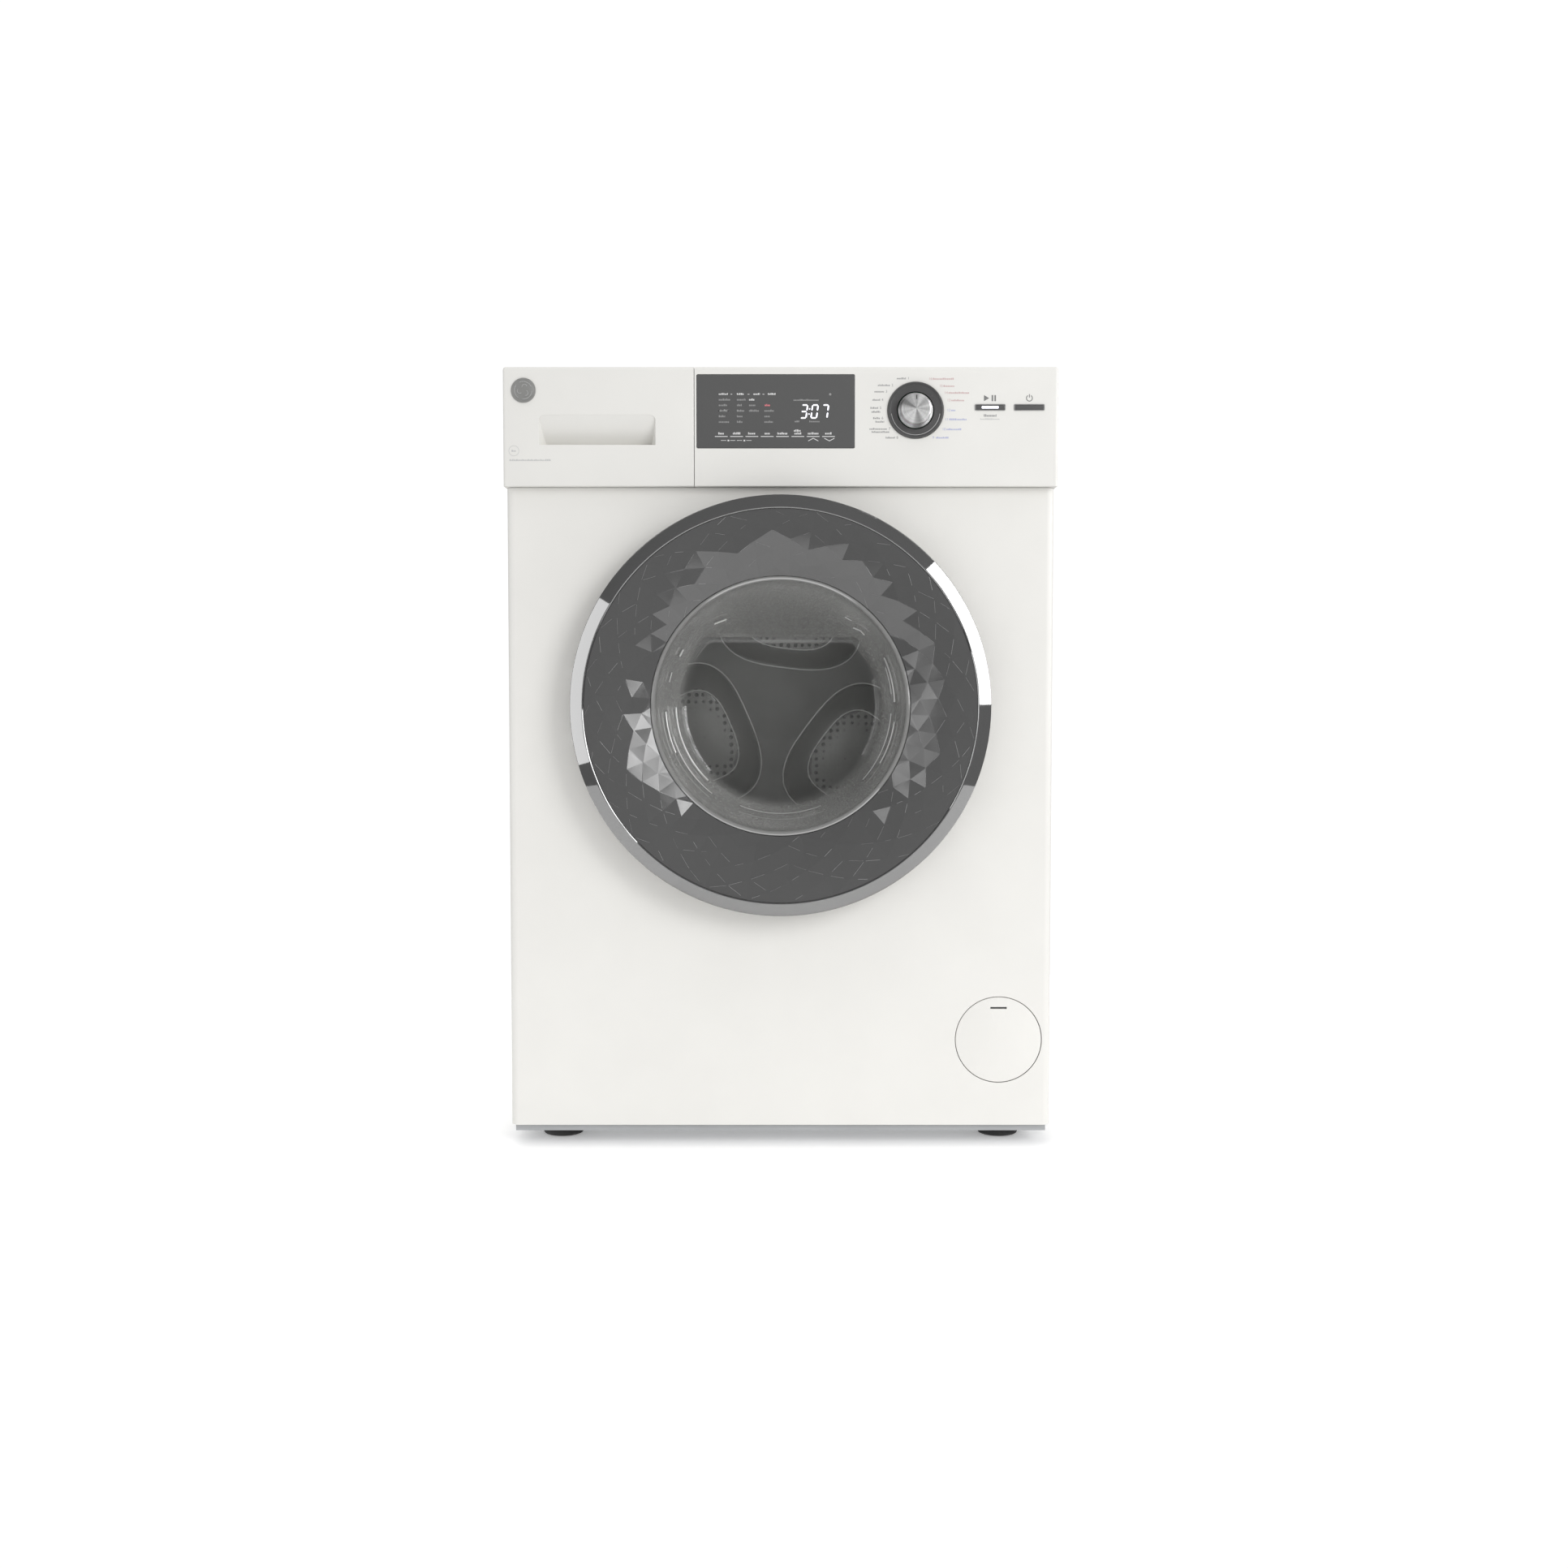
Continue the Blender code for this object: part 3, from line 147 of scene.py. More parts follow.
def noise(tree, scale, detail=2.0, stretch=(1, 1, 1), rough=0.5):
    """A noise over the piece's own coordinates."""
    place = add_node(tree, "Mapping", {"Vector": own_place(tree), "Scale": stretch}).outputs["Vector"]
    settings = {"Vector": place, "Scale": scale, "Detail": detail, "Roughness": rough}
    return add_node(tree, "TexNoise", settings).outputs["Fac"]


def spread(tree, value, low, high, from_low=0.3, from_high=0.7):
    """A value mapped from one range to another."""
    ends = {"Value": value, "From Min": from_low, "From Max": from_high, "To Min": low, "To Max": high}
    return add_node(tree, "MapRange", ends).outputs["Result"]


def mix_colours(tree, factor, first, second, blend="MIX"):
    """Two colours mixed, each a value or another node's output."""
    sides = [side if isinstance(side, bpy.types.NodeSocket) else (*side, 1) for side in (first, second)]
    ends = {0: factor, 6: sides[0], 7: sides[1]}
    return add_node(tree, "Mix", ends, data_type="RGBA", blend_type=blend).outputs[2]


def bump(tree, shader, height, strength, distance=0.001):
    raised = add_node(tree, "Bump", {"Strength": strength, "Distance": distance, "Height": height})
    tree.links.new(raised.outputs["Normal"], shader.inputs["Normal"])


def finish(name, colour, roughness, metallic=0.0, ior=1.5, tone=0.04, grain=900.0, grain_depth=0.00002,
           rough_vary=0.06, stretch=(1, 1, 1), shine=0.5):
    """A solid finish: slight tone and gloss changes, and a fine surface grain. A lone number is a grey."""
    made, tree, shader = new_material(name)
    parts = (colour,) * 3 if isinstance(colour, float) else colour
    darker, lighter = [tuple(min(1.0, part * share) for part in parts) for share in (1 - tone, 1 + tone)]
    large = spread(tree, noise(tree, 14.0, 3.0), 0, 1)
    fine = noise(tree, grain, 2.0, stretch)
    set_inputs(tree, shader, {
        "Base Color": mix_colours(tree, large, darker, lighter),
        "Roughness": spread(tree, fine, max(0.0, roughness - rough_vary), roughness + rough_vary),
        "Specular IOR Level": shine,
        "Metallic": metallic,
        "IOR": ior,
    })
    bump(tree, shader, fine, 1.0, grain_depth)
    return made


def drum_steel(name):
    """Stainless sheet with rows of small round holes, laid out round the drum's axis."""
    made, tree, shader = new_material(name)
    place = add_node(tree, "SeparateXYZ", {0: own_place(tree)}).outputs
    holes_around, rows_per_metre = 150.0, 100.0
    angle = calculate(tree, "ARCTAN2", place["Z"], place["X"])
    across = calculate(tree, "MULTIPLY", angle, holes_around / (2 * math.pi))
    along = calculate(tree, "MULTIPLY", place["Y"], rows_per_metre)
    row = calculate(tree, "ABSOLUTE", calculate(tree, "FLOOR", along))
    shift = calculate(tree, "MULTIPLY", calculate(tree, "MODULO", row, 2.0), 0.5)
    u = calculate(tree, "SUBTRACT", calculate(tree, "FRACT", calculate(tree, "ADD", across, shift)), 0.5)
    v = calculate(tree, "SUBTRACT", calculate(tree, "FRACT", along), 0.5)
    squares = [calculate(tree, "MULTIPLY", side, side) for side in (u, v)]
    away = calculate(tree, "SQRT", calculate(tree, "ADD", *squares))
    hole = spread(tree, away, 1.0, 0.0, 0.15, 0.20)
    grain = noise(tree, 60.0, 3.0, (1, 12, 1))
    steel = mix_colours(tree, spread(tree, grain, 0, 1), (0.20, 0.20, 0.195), (0.30, 0.30, 0.29))
    set_inputs(tree, shader, {
        "Base Color": mix_colours(tree, hole, steel, (0.045, 0.045, 0.045)),
        "Roughness": spread(tree, grain, 0.22, 0.40),
        "Metallic": 0.75,
    })
    bump(tree, shader, calculate(tree, "SUBTRACT", 1.0, hole), 0.6, 0.0012)
    return made


def perforated(name, pitch, plain, dark, metallic):
    """Sheet with a hexagonal field of small dimples, for flat faces seen along Y."""
    made, tree, shader = new_material(name)
    layout = {"Scale": 1 / pitch, "Randomness": 0.15, "Vector": own_place(tree)}
    away = add_node(tree, "TexVoronoi", layout).outputs["Distance"]
    hole = spread(tree, away, 1.0, 0.0, 0.22, 0.34)
    set_inputs(tree, shader, {
        "Base Color": mix_colours(tree, hole, (plain, plain, plain * 0.975), (dark, dark, dark)),
        "Roughness": spread(tree, noise(tree, 400.0), 0.50, 0.65),
        "Metallic": metallic,
    })
    bump(tree, shader, spread(tree, away, 0.0, 1.0, 0.15, 0.4), 0.5)
    return made


def pane(name, tint, weight, haze):
    """Clear moulded glass: seen straight through, mirrored more at a glance, with faint water marks."""
    made, tree, out = bare_material(name)
    through = add_node(tree, "BsdfTransparent", {"Color": (*tint, 1)})
    mirror = add_node(tree, "BsdfGlossy", {"Roughness": 0.035, "Color": WHITE})
    share = calculate(tree, "MULTIPLY", add_node(tree, "Fresnel", {"IOR": 1.5}).outputs[0], weight)
    clear = add_node(tree, "MixShader", {0: share, 1: through.outputs[0], 2: mirror.outputs[0]})
    film = add_node(tree, "BsdfDiffuse", {"Color": (0.58, 0.58, 0.565, 1)})
    marks = spread(tree, noise(tree, 520.0, 6.0, rough=0.75), haze, haze + 0.50, 0.56, 0.74)
    cloud = spread(tree, noise(tree, 22.0, 3.0), 0.75, 1.0)
    slant = add_node(tree, "LayerWeight", {"Blend": 0.5}).outputs["Facing"]
    deeper = spread(tree, slant, 0.62, 2.7, 0.0, 0.8)
    dust = calculate(tree, "MULTIPLY", calculate(tree, "MULTIPLY", marks, cloud), deeper)
    dusty = add_node(tree, "MixShader", {0: dust, 1: clear.outputs[0], 2: film.outputs[0]})
    tree.links.new(dusty.outputs[0], out.inputs["Surface"])
    return made


def glowing(name, colour, strength):
    made, tree, shader = new_material(name)
    set_inputs(tree, shader, {
        "Base Color": (*colour, 1),
        "Emission Color": (*colour, 1),
        "Emission Strength": strength,
        "Roughness": spread(tree, noise(tree, 200.0), 0.3, 0.5),
    })
    return made


ENAMEL = finish("white_enamel", (0.800, 0.790, 0.760), 0.50, tone=0.012, grain=420.0, grain_depth=0.00003,
                shine=0.22)
SHELL = finish("white_plastic", (0.785, 0.777, 0.748), 0.50, tone=0.012, grain=1500.0, grain_depth=0.00002,
               shine=0.25)
INNER_WHITE = finish("inner_plastic", (0.70, 0.70, 0.69), 0.48, tone=0.03, grain=1200.0)
TRIM = finish("dark_chrome", 0.100, 0.035, ior=2.6, tone=0.01, grain=60.0,
              grain_depth=0.000001, rough_vary=0.01)
DISH = finish("dark_facets", 0.098, 0.08, ior=1.66, tone=0.02, grain=120.0,
              grain_depth=0.000002, rough_vary=0.02)
SCREEN = finish("dark_screen", 0.112, 0.10, ior=1.45, tone=0.01, grain=200.0,
                grain_depth=0.000001, rough_vary=0.03)
DARK = finish("dark_plastic", 0.085, 0.42, grain=1400.0)
GREY = finish("grey_plastic", (0.40, 0.41, 0.42), 0.50, grain=1100.0)
BLUE = finish("blue_plastic", (0.12, 0.30, 0.60), 0.40, grain=1100.0)
RUBBER = finish("grey_rubber", (0.235, 0.235, 0.240), 0.62, tone=0.08, grain=700.0, grain_depth=0.00006)
BLACK_RUBBER = finish("black_rubber", 0.045, 0.70, tone=0.10, grain=800.0, grain_depth=0.00006)
STEEL = finish("brushed_steel", 0.58, 0.30, metallic=1.0, grain=300.0, stretch=(1, 18, 1),
               grain_depth=0.00001)
ZINC = finish("zinc_steel", (0.55, 0.56, 0.57), 0.40, metallic=1.0, tone=0.12, grain=90.0)
CAST = finish("cast_metal", (0.48, 0.48, 0.49), 0.55, metallic=1.0, tone=0.08, grain=500.0,
              grain_depth=0.00008)
STONE = finish("concrete", (0.48, 0.47, 0.44), 0.92, tone=0.15, grain=260.0, grain_depth=0.0003)
BOARD = finish("circuit_board", (0.05, 0.20, 0.10), 0.45, tone=0.10, grain=300.0)
DRUM_STEEL = drum_steel("drum_steel")
LOBE_STEEL = finish("lobe_steel", (0.105, 0.105, 0.102), 0.34, metallic=0.1, ior=1.55, tone=0.08, grain=60.0)
LOBE_SIEVE = perforated("lobe_sieve", 0.0092, 0.200, 0.025, 0.1)
BACK_STEEL = finish("back_steel", (0.110, 0.110, 0.108), 0.60, metallic=0.3, tone=0.12, grain=500.0)
DOOR_GLASS = pane("door_glass", (0.88, 0.885, 0.88), 1.3, 0.138)
RIM_GLASS = finish("glass_rim", (0.29, 0.29, 0.285), 0.07, ior=2.5, tone=0.05, grain=90.0,
                   grain_depth=0.00001)
RING_GLOSS = finish("dial_gloss", 0.100, 0.22, ior=1.35, tone=0.02, grain=300.0,
                    grain_depth=0.000003)
SILVER = finish("satin_silver", 0.66, 0.30, metallic=0.45, tone=0.05, grain=600.0, stretch=(1, 1, 9))
# A pale colour for thin wires, as a painted highlight: the raised beads on the drum lobes and the glints on
# the glass bowl.
PALE_BEAD_HIGHLIGHT = finish("bead_painted_highlight", (0.78, 0.78, 0.77), 0.20, metallic=0.3, ior=1.9, tone=0.10, grain=200.0)
# Pale colour for thin wires that stand as painted glints on the door's facet edges.
PAINTED_GLINT = finish("painted_edge_glint", 0.33, 0.25, tone=0.30, grain=300.0)
BADGE = finish("badge_grey", (0.34, 0.34, 0.33), 0.35, metallic=0.30, tone=0.06, grain=500.0)
LIT = glowing("lit_segment", (0.90, 0.90, 1.00), 1.0)
# Pale print, and also the paint of the dial's painted highlight line.
PRINT_AND_HIGHLIGHT_MARK = finish("print_and_painted_highlight", 0.70, 0.45, grain=900.0)
DIM_MARK = finish("dim_mark", 0.30, 0.45, grain=900.0)
RED_MARK = glowing("red_mark", (0.55, 0.16, 0.18), 0.4)
BEZEL = finish("bezel_grey", 0.30, 0.30, metallic=0.15, tone=0.15, grain=90.0)
INK = finish("grey_ink", 0.36, 0.55, grain=900.0)
DARK_INK = finish("dark_ink", 0.20, 0.55, grain=900.0)
PALE_INK = finish("pale_ink", 0.56, 0.55, grain=900.0)
RED_INK = finish("red_ink", (0.60, 0.44, 0.44), 0.55, grain=900.0)
BLUE_INK = finish("blue_ink", (0.44, 0.46, 0.66), 0.55, grain=900.0)


def brushed_cap(name):
    """Metal turned on a lathe: fine rings, and light and dark sectors fanning out from the middle, painted
    into the colour as a sheen.
    """
    made, tree, shader = new_material(name)
    place = add_node(tree, "SeparateXYZ", {0: own_place(tree)}).outputs
    flat_place = add_node(tree, "CombineXYZ", {"X": place["X"], "Z": place["Z"]}).outputs[0]
    length = add_node(tree, "VectorMath", {0: flat_place}, operation="LENGTH").outputs["Value"]
    unit = add_node(tree, "VectorMath", {0: flat_place}, operation="NORMALIZE").outputs[0]
    rings = add_node(tree, "TexNoise", {"Scale": 2600.0}, noise_dimensions="1D")
    tree.links.new(length, rings.inputs["W"])
    # The base colour is painted lighter and darker by angle round the middle: a painted sheen standing in
    # for the turned metal's reflections.
    sheen_noise = add_node(tree, "TexNoise", {"Scale": 1.15, "Detail": 1.5, "Vector": unit}).outputs["Fac"]
    painted_sheen_sectors = mix_colours(tree, spread(tree, sheen_noise, 0, 1, 0.36, 0.64), (0.26, 0.26, 0.26), (0.86, 0.86, 0.86))
    set_inputs(tree, shader, {
        "Base Color": mix_colours(tree, 0.35, painted_sheen_sectors, rings.outputs["Color"], "MULTIPLY"),
        "Roughness": spread(tree, rings.outputs["Fac"], 0.25, 0.40),
        "Metallic": 0.25,
        "Anisotropic": 0.6,
    })
    return made


CAP_METAL = brushed_cap("turned_metal")


# Mesh helpers ----------------------------------------------------------------------------------------------

def wear(obj, body, paint, replaces=(), angle=35.0):
    """Gives a finished mesh its paint, its body and its place in the table."""
    if not obj.data.materials:
        obj.data.materials.append(paint)
    if obj.type == "MESH" and angle:
        obj.data.shade_smooth()
        obj.data.set_sharp_from_angle(angle=math.radians(angle))
    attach(obj, body)
    if replaces:
        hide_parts(*replaces)
    return obj


def linked(name, mesh, location=(0, 0, 0)):
    obj = bpy.data.objects.new(name, mesh)
    obj.location = location
    bpy.context.scene.collection.objects.link(obj)
    return obj


def to_mesh(bm, name):
    mesh = bpy.data.meshes.new(name)
    bmesh.ops.recalc_face_normals(bm, faces=bm.faces)
    bm.to_mesh(mesh)
    bm.free()
    return mesh


def skin(bm, rows, closed=True):
    """Faces between neighbouring rows of points. A row may be a single point."""
    for first, second in zip(rows, rows[1:]):
        count = max(len(first), len(second))
        for step in range(count if closed else count - 1):
            after = (step + 1) % count
            corners = [first[step % len(first)], first[after % len(first)],
                       second[after % len(second)], second[step % len(second)]]
            distinct = list(dict.fromkeys(corners))
            if len(distinct) > 2:
                bm.faces.new(distinct)


def thicken(obj, thickness):
    wall = obj.modifiers.new("wall", "SOLIDIFY")
    wall.thickness = thickness
    wall.offset = -1.0


def soften(obj, width, segments, degrees):
    """Rounds the edges sharper than an angle."""
    edges = obj.modifiers.new("edges", "BEVEL")
    edges.width = width
    edges.segments = segments
    edges.limit_method = "ANGLE"
    edges.angle_limit = math.radians(degrees)


def box_middle(node):
    low, high = CAD[node]
    return (low + high) / 2


def lathe(name, profile, centre=AXIS, steps=128, axis="Y"):
    """A closed turned mesh from (radius, place along the axis) pairs, smoothly joined in rings."""
    bm = bmesh.new()
    rings = []
    for radius, along in profile:
        ring = []
        for step in range(steps if radius > 0 else 1):
            angle = 2 * math.pi * step / steps
            x, y = radius * math.cos(angle), radius * math.sin(angle)
            ring.append(bm.verts.new((x, along, y) if axis == "Y" else (x, y, along)))
        rings.append(ring)
    skin(bm, rings)
    if len(rings[0]) > 1 and len(rings[-1]) > 1:
        skin(bm, [rings[-1], rings[0]])
    return linked(name, to_mesh(bm, name), centre)


def block(name, low, high, radius=0.0, segments=3, edges=None):
    """A block with all its edges rounded, or only those that edges(a, b) picks."""
    low, high = Vector(low), Vector(high)
    bm = bmesh.new()
    bmesh.ops.create_cube(bm, size=1.0)
    bmesh.ops.scale(bm, vec=high - low, verts=bm.verts)
    if radius:
        chosen = [edge for edge in bm.edges if edges is None or edges(edge.verts[0].co, edge.verts[1].co)]
        bmesh.ops.bevel(bm, geom=chosen, offset=radius, segments=segments, profile=0.5, affect="EDGES")
    return linked(name, to_mesh(bm, name), (low + high) / 2)


def rod(name, radius, start, end, steps=64, end_radius=None):
    start, end = Vector(start), Vector(end)
    bm = bmesh.new()
    bmesh.ops.create_cone(
        bm,
        cap_ends=True,
        segments=steps,
        radius1=radius,
        radius2=radius if end_radius is None else end_radius,
        depth=(end - start).length,
    )
    obj = linked(name, to_mesh(bm, name), (start + end) / 2)
    obj.rotation_euler = (end - start).to_track_quat("Z", "Y").to_euler()
    return obj


def flat(name, loops, low, high, axis="Y", bevel=0.0, rounds=3):
    """Flat loops (the first round the outside, the rest holes) given thickness and soft edges.

    Loop points are (x, z) for axis Y and (x, y) for axis Z.
    """
    curve = bpy.data.curves.new(name, "CURVE")
    curve.dimensions = "2D"
    curve.fill_mode = "BOTH"
    curve.extrude = (high - low) / 2 - bevel
    curve.bevel_depth = bevel
    curve.bevel_resolution = rounds
    curve.offset = -bevel
    for loop in loops:
        add_spline(curve, [(across, up, 0) for across, up in loop], True)
    obj = linked(name, curve_mesh(curve))
    middle = (low + high) / 2
    if axis == "Y":
        obj.data.transform(Matrix.Translation((0, middle, 0)) @ UPRIGHT)
    else:
        obj.data.transform(Matrix.Translation((0, 0, middle)))
    return obj


def add_spline(curve, points, cyclic):
    spline = curve.splines.new("POLY")
    spline.points.add(len(points) - 1)
    for point, spot in zip(spline.points, points):
        point.co = (*spot, 1)
    spline.use_cyclic_u = cyclic


def curve_mesh(curve):
    """The welded mesh of a curve."""
    drawn = bpy.data.objects.new(curve.name + "_drawn", curve)
    bpy.context.scene.collection.objects.link(drawn)
    bpy.context.view_layer.update()
    mesh = bpy.data.meshes.new_from_object(drawn.evaluated_get(bpy.context.evaluated_depsgraph_get()))
    bpy.data.objects.remove(drawn, do_unlink=True)
    bm = bmesh.new()
    bm.from_mesh(mesh)
    bmesh.ops.remove_doubles(bm, verts=bm.verts, dist=0.000002)
    bmesh.ops.recalc_face_normals(bm, faces=bm.faces)
    bm.to_mesh(mesh)
    bm.free()
    mesh.materials.clear()
    return mesh


def wire(name, points, radius, resolution=3, cyclic=False):
    curve = bpy.data.curves.new(name, "CURVE")
    curve.dimensions = "3D"
    curve.bevel_depth = radius
    curve.bevel_resolution = resolution
    curve.use_fill_caps = True
    add_spline(curve, points, cyclic)
    return linked(name, curve_mesh(curve))


def carve(obj, cutter, operation="DIFFERENCE"):
    """Cuts or joins at once, and removes the other mesh."""
    modifier = obj.modifiers.new("carve", "BOOLEAN")
    modifier.object = cutter
    modifier.operation = operation
    modifier.solver = "EXACT"
    bpy.context.view_layer.update()
    mesh = bpy.data.meshes.new_from_object(obj.evaluated_get(bpy.context.evaluated_depsgraph_get()))
    obj.modifiers.clear()
    obj.data = mesh
    bpy.data.objects.remove(cutter, do_unlink=True)
    return obj


def join(name, objects):
    """Several meshes as one object at the origin."""
    bm = bmesh.new()
    for obj in objects:
        bpy.context.view_layer.update()
        piece = obj.data.copy()
        piece.transform(obj.matrix_world)
        bm.from_mesh(piece)
        bpy.data.objects.remove(obj, do_unlink=True)
    mesh = bpy.data.meshes.new(name)
    bm.to_mesh(mesh)
    bm.free()
    return linked(name, mesh)


def arc(centre, radius, start_deg, end_deg, steps, ends=True):
    count = steps if ends else steps - 1
    found = []
    for step in range(count + 1):
        angle = math.radians(start_deg + (end_deg - start_deg) * step / steps)
        found.append((centre[0] + radius * math.cos(angle), centre[1] + radius * math.sin(angle)))
    return found


def circle(centre, radius, steps=96):
    return arc(centre, radius, 0, 360, steps, ends=False)


def rounded(low, high, radius, steps=6):
    """A rectangle with round corners."""
    (x0, y0), (x1, y1) = (low[0] + radius, low[1] + radius), (high[0] - radius, high[1] - radius)
    found = []
    for corner, start in (((x1, y0), 270), ((x1, y1), 0), ((x0, y1), 90), ((x0, y0), 180)):
        found += arc(corner, radius, start, start + 90, steps)
    return found


def upright_block(middle, half_x, half_z, front, back):
    """A cutter through an upright face, by its middle and half sizes."""
    low = (middle[0] - half_x, front, middle[2] - half_z)
    return block("cut", low, (middle[0] + half_x, back, middle[2] + half_z))


def printed(name, loops, y, paint, body="cabinet", off=PRINT):
    """Flat shapes printed on a front face."""
    return wear(flat(name, loops, y - off[0], y - off[1]), body, paint, angle=0)


# Cabinet ---------------------------------------------------------------------------------------------------

def edge_shape(mirror):
    """Half of the front panel's path seen from above: a side return and its round edge."""
    radius, returned = 0.009, 0.020
    corner = arc((PANEL_HIGH.x - radius, PANEL_Y + radius), radius, 270, 360, 12)
    half = [(0.0, PANEL_Y)] + corner + [(PANEL_HIGH.x, PANEL_Y + returned)]
    return [(-x, y) for x, y in reversed(half)] if mirror else half


def build_front_panel():
    path = edge_shape(True)[:-1] + edge_shape(False)
    bm = bmesh.new()
    low = [bm.verts.new((x, y, PANEL_LOW.z)) for x, y in path]
    high = [bm.verts.new((x, y, CONSOLE_LOW.z - 0.0003)) for x, y in path]
    for index in range(len(path) - 1):
        bm.faces.new((low[index], low[index + 1], high[index + 1], high[index]))
    mesh = bpy.data.meshes.new("front_panel_sheet")
    bm.to_mesh(mesh)
    bm.free()
    panel = linked("front_panel_sheet", mesh)
    thicken(panel, 0.002)
    front, back = PANEL_Y - 0.02, PANEL_Y + 0.01
    carve(panel, rod("cut", 0.160, (0, back, AXIS_Z), (0, front, AXIS_Z), steps=128))
    cover_low, cover_high = CAD["pump_cover"]
    middle = box_middle("pump_cover")
    radius = (cover_high.x - cover_low.x) / 2
    carve(panel, rod("cut", radius + 0.0006, (middle.x, back, middle.z), (middle.x, front, middle.z),
                     steps=96))
    carve(panel, block("cut", (0.180, front, AXIS_Z - 0.008), (0.202, back, AXIS_Z + 0.008)))
    for side in (-1, 1):
        slot = (HINGE.x, 0, AXIS_Z + side * LUG_Z)
        carve(panel, upright_block(slot, 0.0045, 0.005, front, back))
    soften(panel, 0.0005, 2, 60)
    wear(panel, "cabinet", ENAMEL, ["front_panel"])

    disc = lathe(
        "pump_cover_disc",
        [(0, cover_low.y), (radius - 0.0016, cover_low.y), (radius - 0.0004, cover_low.y + 0.0004),
         (radius, cover_low.y + 0.0014), (radius, cover_high.y), (0, cover_high.y)],
        (middle.x, 0, middle.z),
        96,
    )
    slot = (middle.x, 0, cover_high.z - 0.0119)
    carve(disc, upright_block(slot, 0.0090, 0.0011, front, back))
    wear(disc, "access_flap", ENAMEL, ["pump_cover"])
    shade = block("pry_slot_shadow", (slot[0] - 0.0089, cover_high.y - 0.0006, slot[2] - 0.0010),
                  (slot[0] + 0.0089, cover_high.y - 0.0001, slot[2] + 0.0010), 0.0002, 1)
    wear(shade, "access_flap", DARK)


def build_top_and_back():
    low, high = CAD["worktop"]
    top = block("worktop_board", low, high, 0.0035, 4)
    wear(top, "cabinet", SHELL, ["worktop"])
    seam = block("worktop_trim", (low.x + 0.0015, low.y + 0.001, low.z - 0.0004),
                 (high.x - 0.0015, high.y - 0.0015, low.z + 0.0005), 0.0002, 1)
    wear(seam, "cabinet", GREY)

    cover_low, cover_high = CAD["rear_cover"]
    plate_high = cover_low.y + 0.0017
    loops = [rounded((cover_low.x, cover_low.z), (cover_high.x, cover_high.z), 0.012),
             circle((0, AXIS_Z), 0.163)]
    sheet = flat("rear_cover_sheet", loops, cover_low.y, plate_high, bevel=0.0004, rounds=1)
    bulge = lathe(
        "rear_cover_bulge",
        [(0, cover_high.y), (0.150, cover_high.y), (0.1555, cover_high.y - 0.0015),
         (0.1665, plate_high + 0.001),
         (0.170, plate_high - 0.0001), (0.170, plate_high - 0.0008), (0.165, plate_high - 0.0008),
         (0.1545, cover_high.y - 0.0030), (0.149, cover_high.y - 0.0014), (0, cover_high.y - 0.0014)],
    )
    cover = join("rear_cover_pressing", [sheet, bulge])
    wear(cover, "cabinet", ENAMEL, ["rear_cover"])
    left, right = cover_low.x + 0.010, cover_high.x - 0.010
    down, up = cover_low.z + 0.010, cover_high.z - 0.010
    spots = [(x, z) for x in (left, 0.0, right) for z in (down, up)]
    spots += [(x, z) for z in (AXIS_Z - 0.08, AXIS_Z + 0.08) for x in (left, right)]
    screws("rear_screws", spots, plate_high)
    for index, (x, z) in enumerate(((-0.235, 0.30), (0.235, 0.30), (-0.235, 0.56), (0.235, 0.60))):
        cap = lathe(
            f"transit_cap_{index + 1}",
            [(0, REAR_Y + 0.0042), (0.010, REAR_Y + 0.0038), (0.014, REAR_Y + 0.0022),
             (0.0150, REAR_Y + 0.0001),
             (0, REAR_Y + 0.0001)],
            (x, 0, z),
            48,
        )
        wear(cap, "cabinet", GREY)
    label = flat("rating_plate", [rounded((-0.150, 0.715), (-0.050, 0.765), 0.003)], REAR_Y + 0.0001,
                 REAR_Y + 0.0004)
    wear(label, "cabinet", ZINC)
    screws("top_rear_screws", [(x, 0.808) for x in (-0.27, 0.0, 0.27)], REAR_Y)


def screws(name, spots, face_y):
    """Pan head cross screws on a rear face, as one piece."""
    made = []
    for x, z in spots:
        head = lathe(
            name + "_head",
            [(0, face_y + 0.0026), (0.0022, face_y + 0.0023), (0.0038, face_y + 0.0012),
             (0.0040, face_y + 0.0001),
             (0, face_y + 0.0001)],
            (x, 0, z),
            24,
        )
        for half_x, half_z in ((0.0022, 0.0005), (0.0005, 0.0022)):
            carve(head, upright_block((x, 0, z), half_x, half_z, face_y + 0.0012, face_y + 0.004))
        made.append(head)
    wear(join(name, made), "cabinet", ZINC)


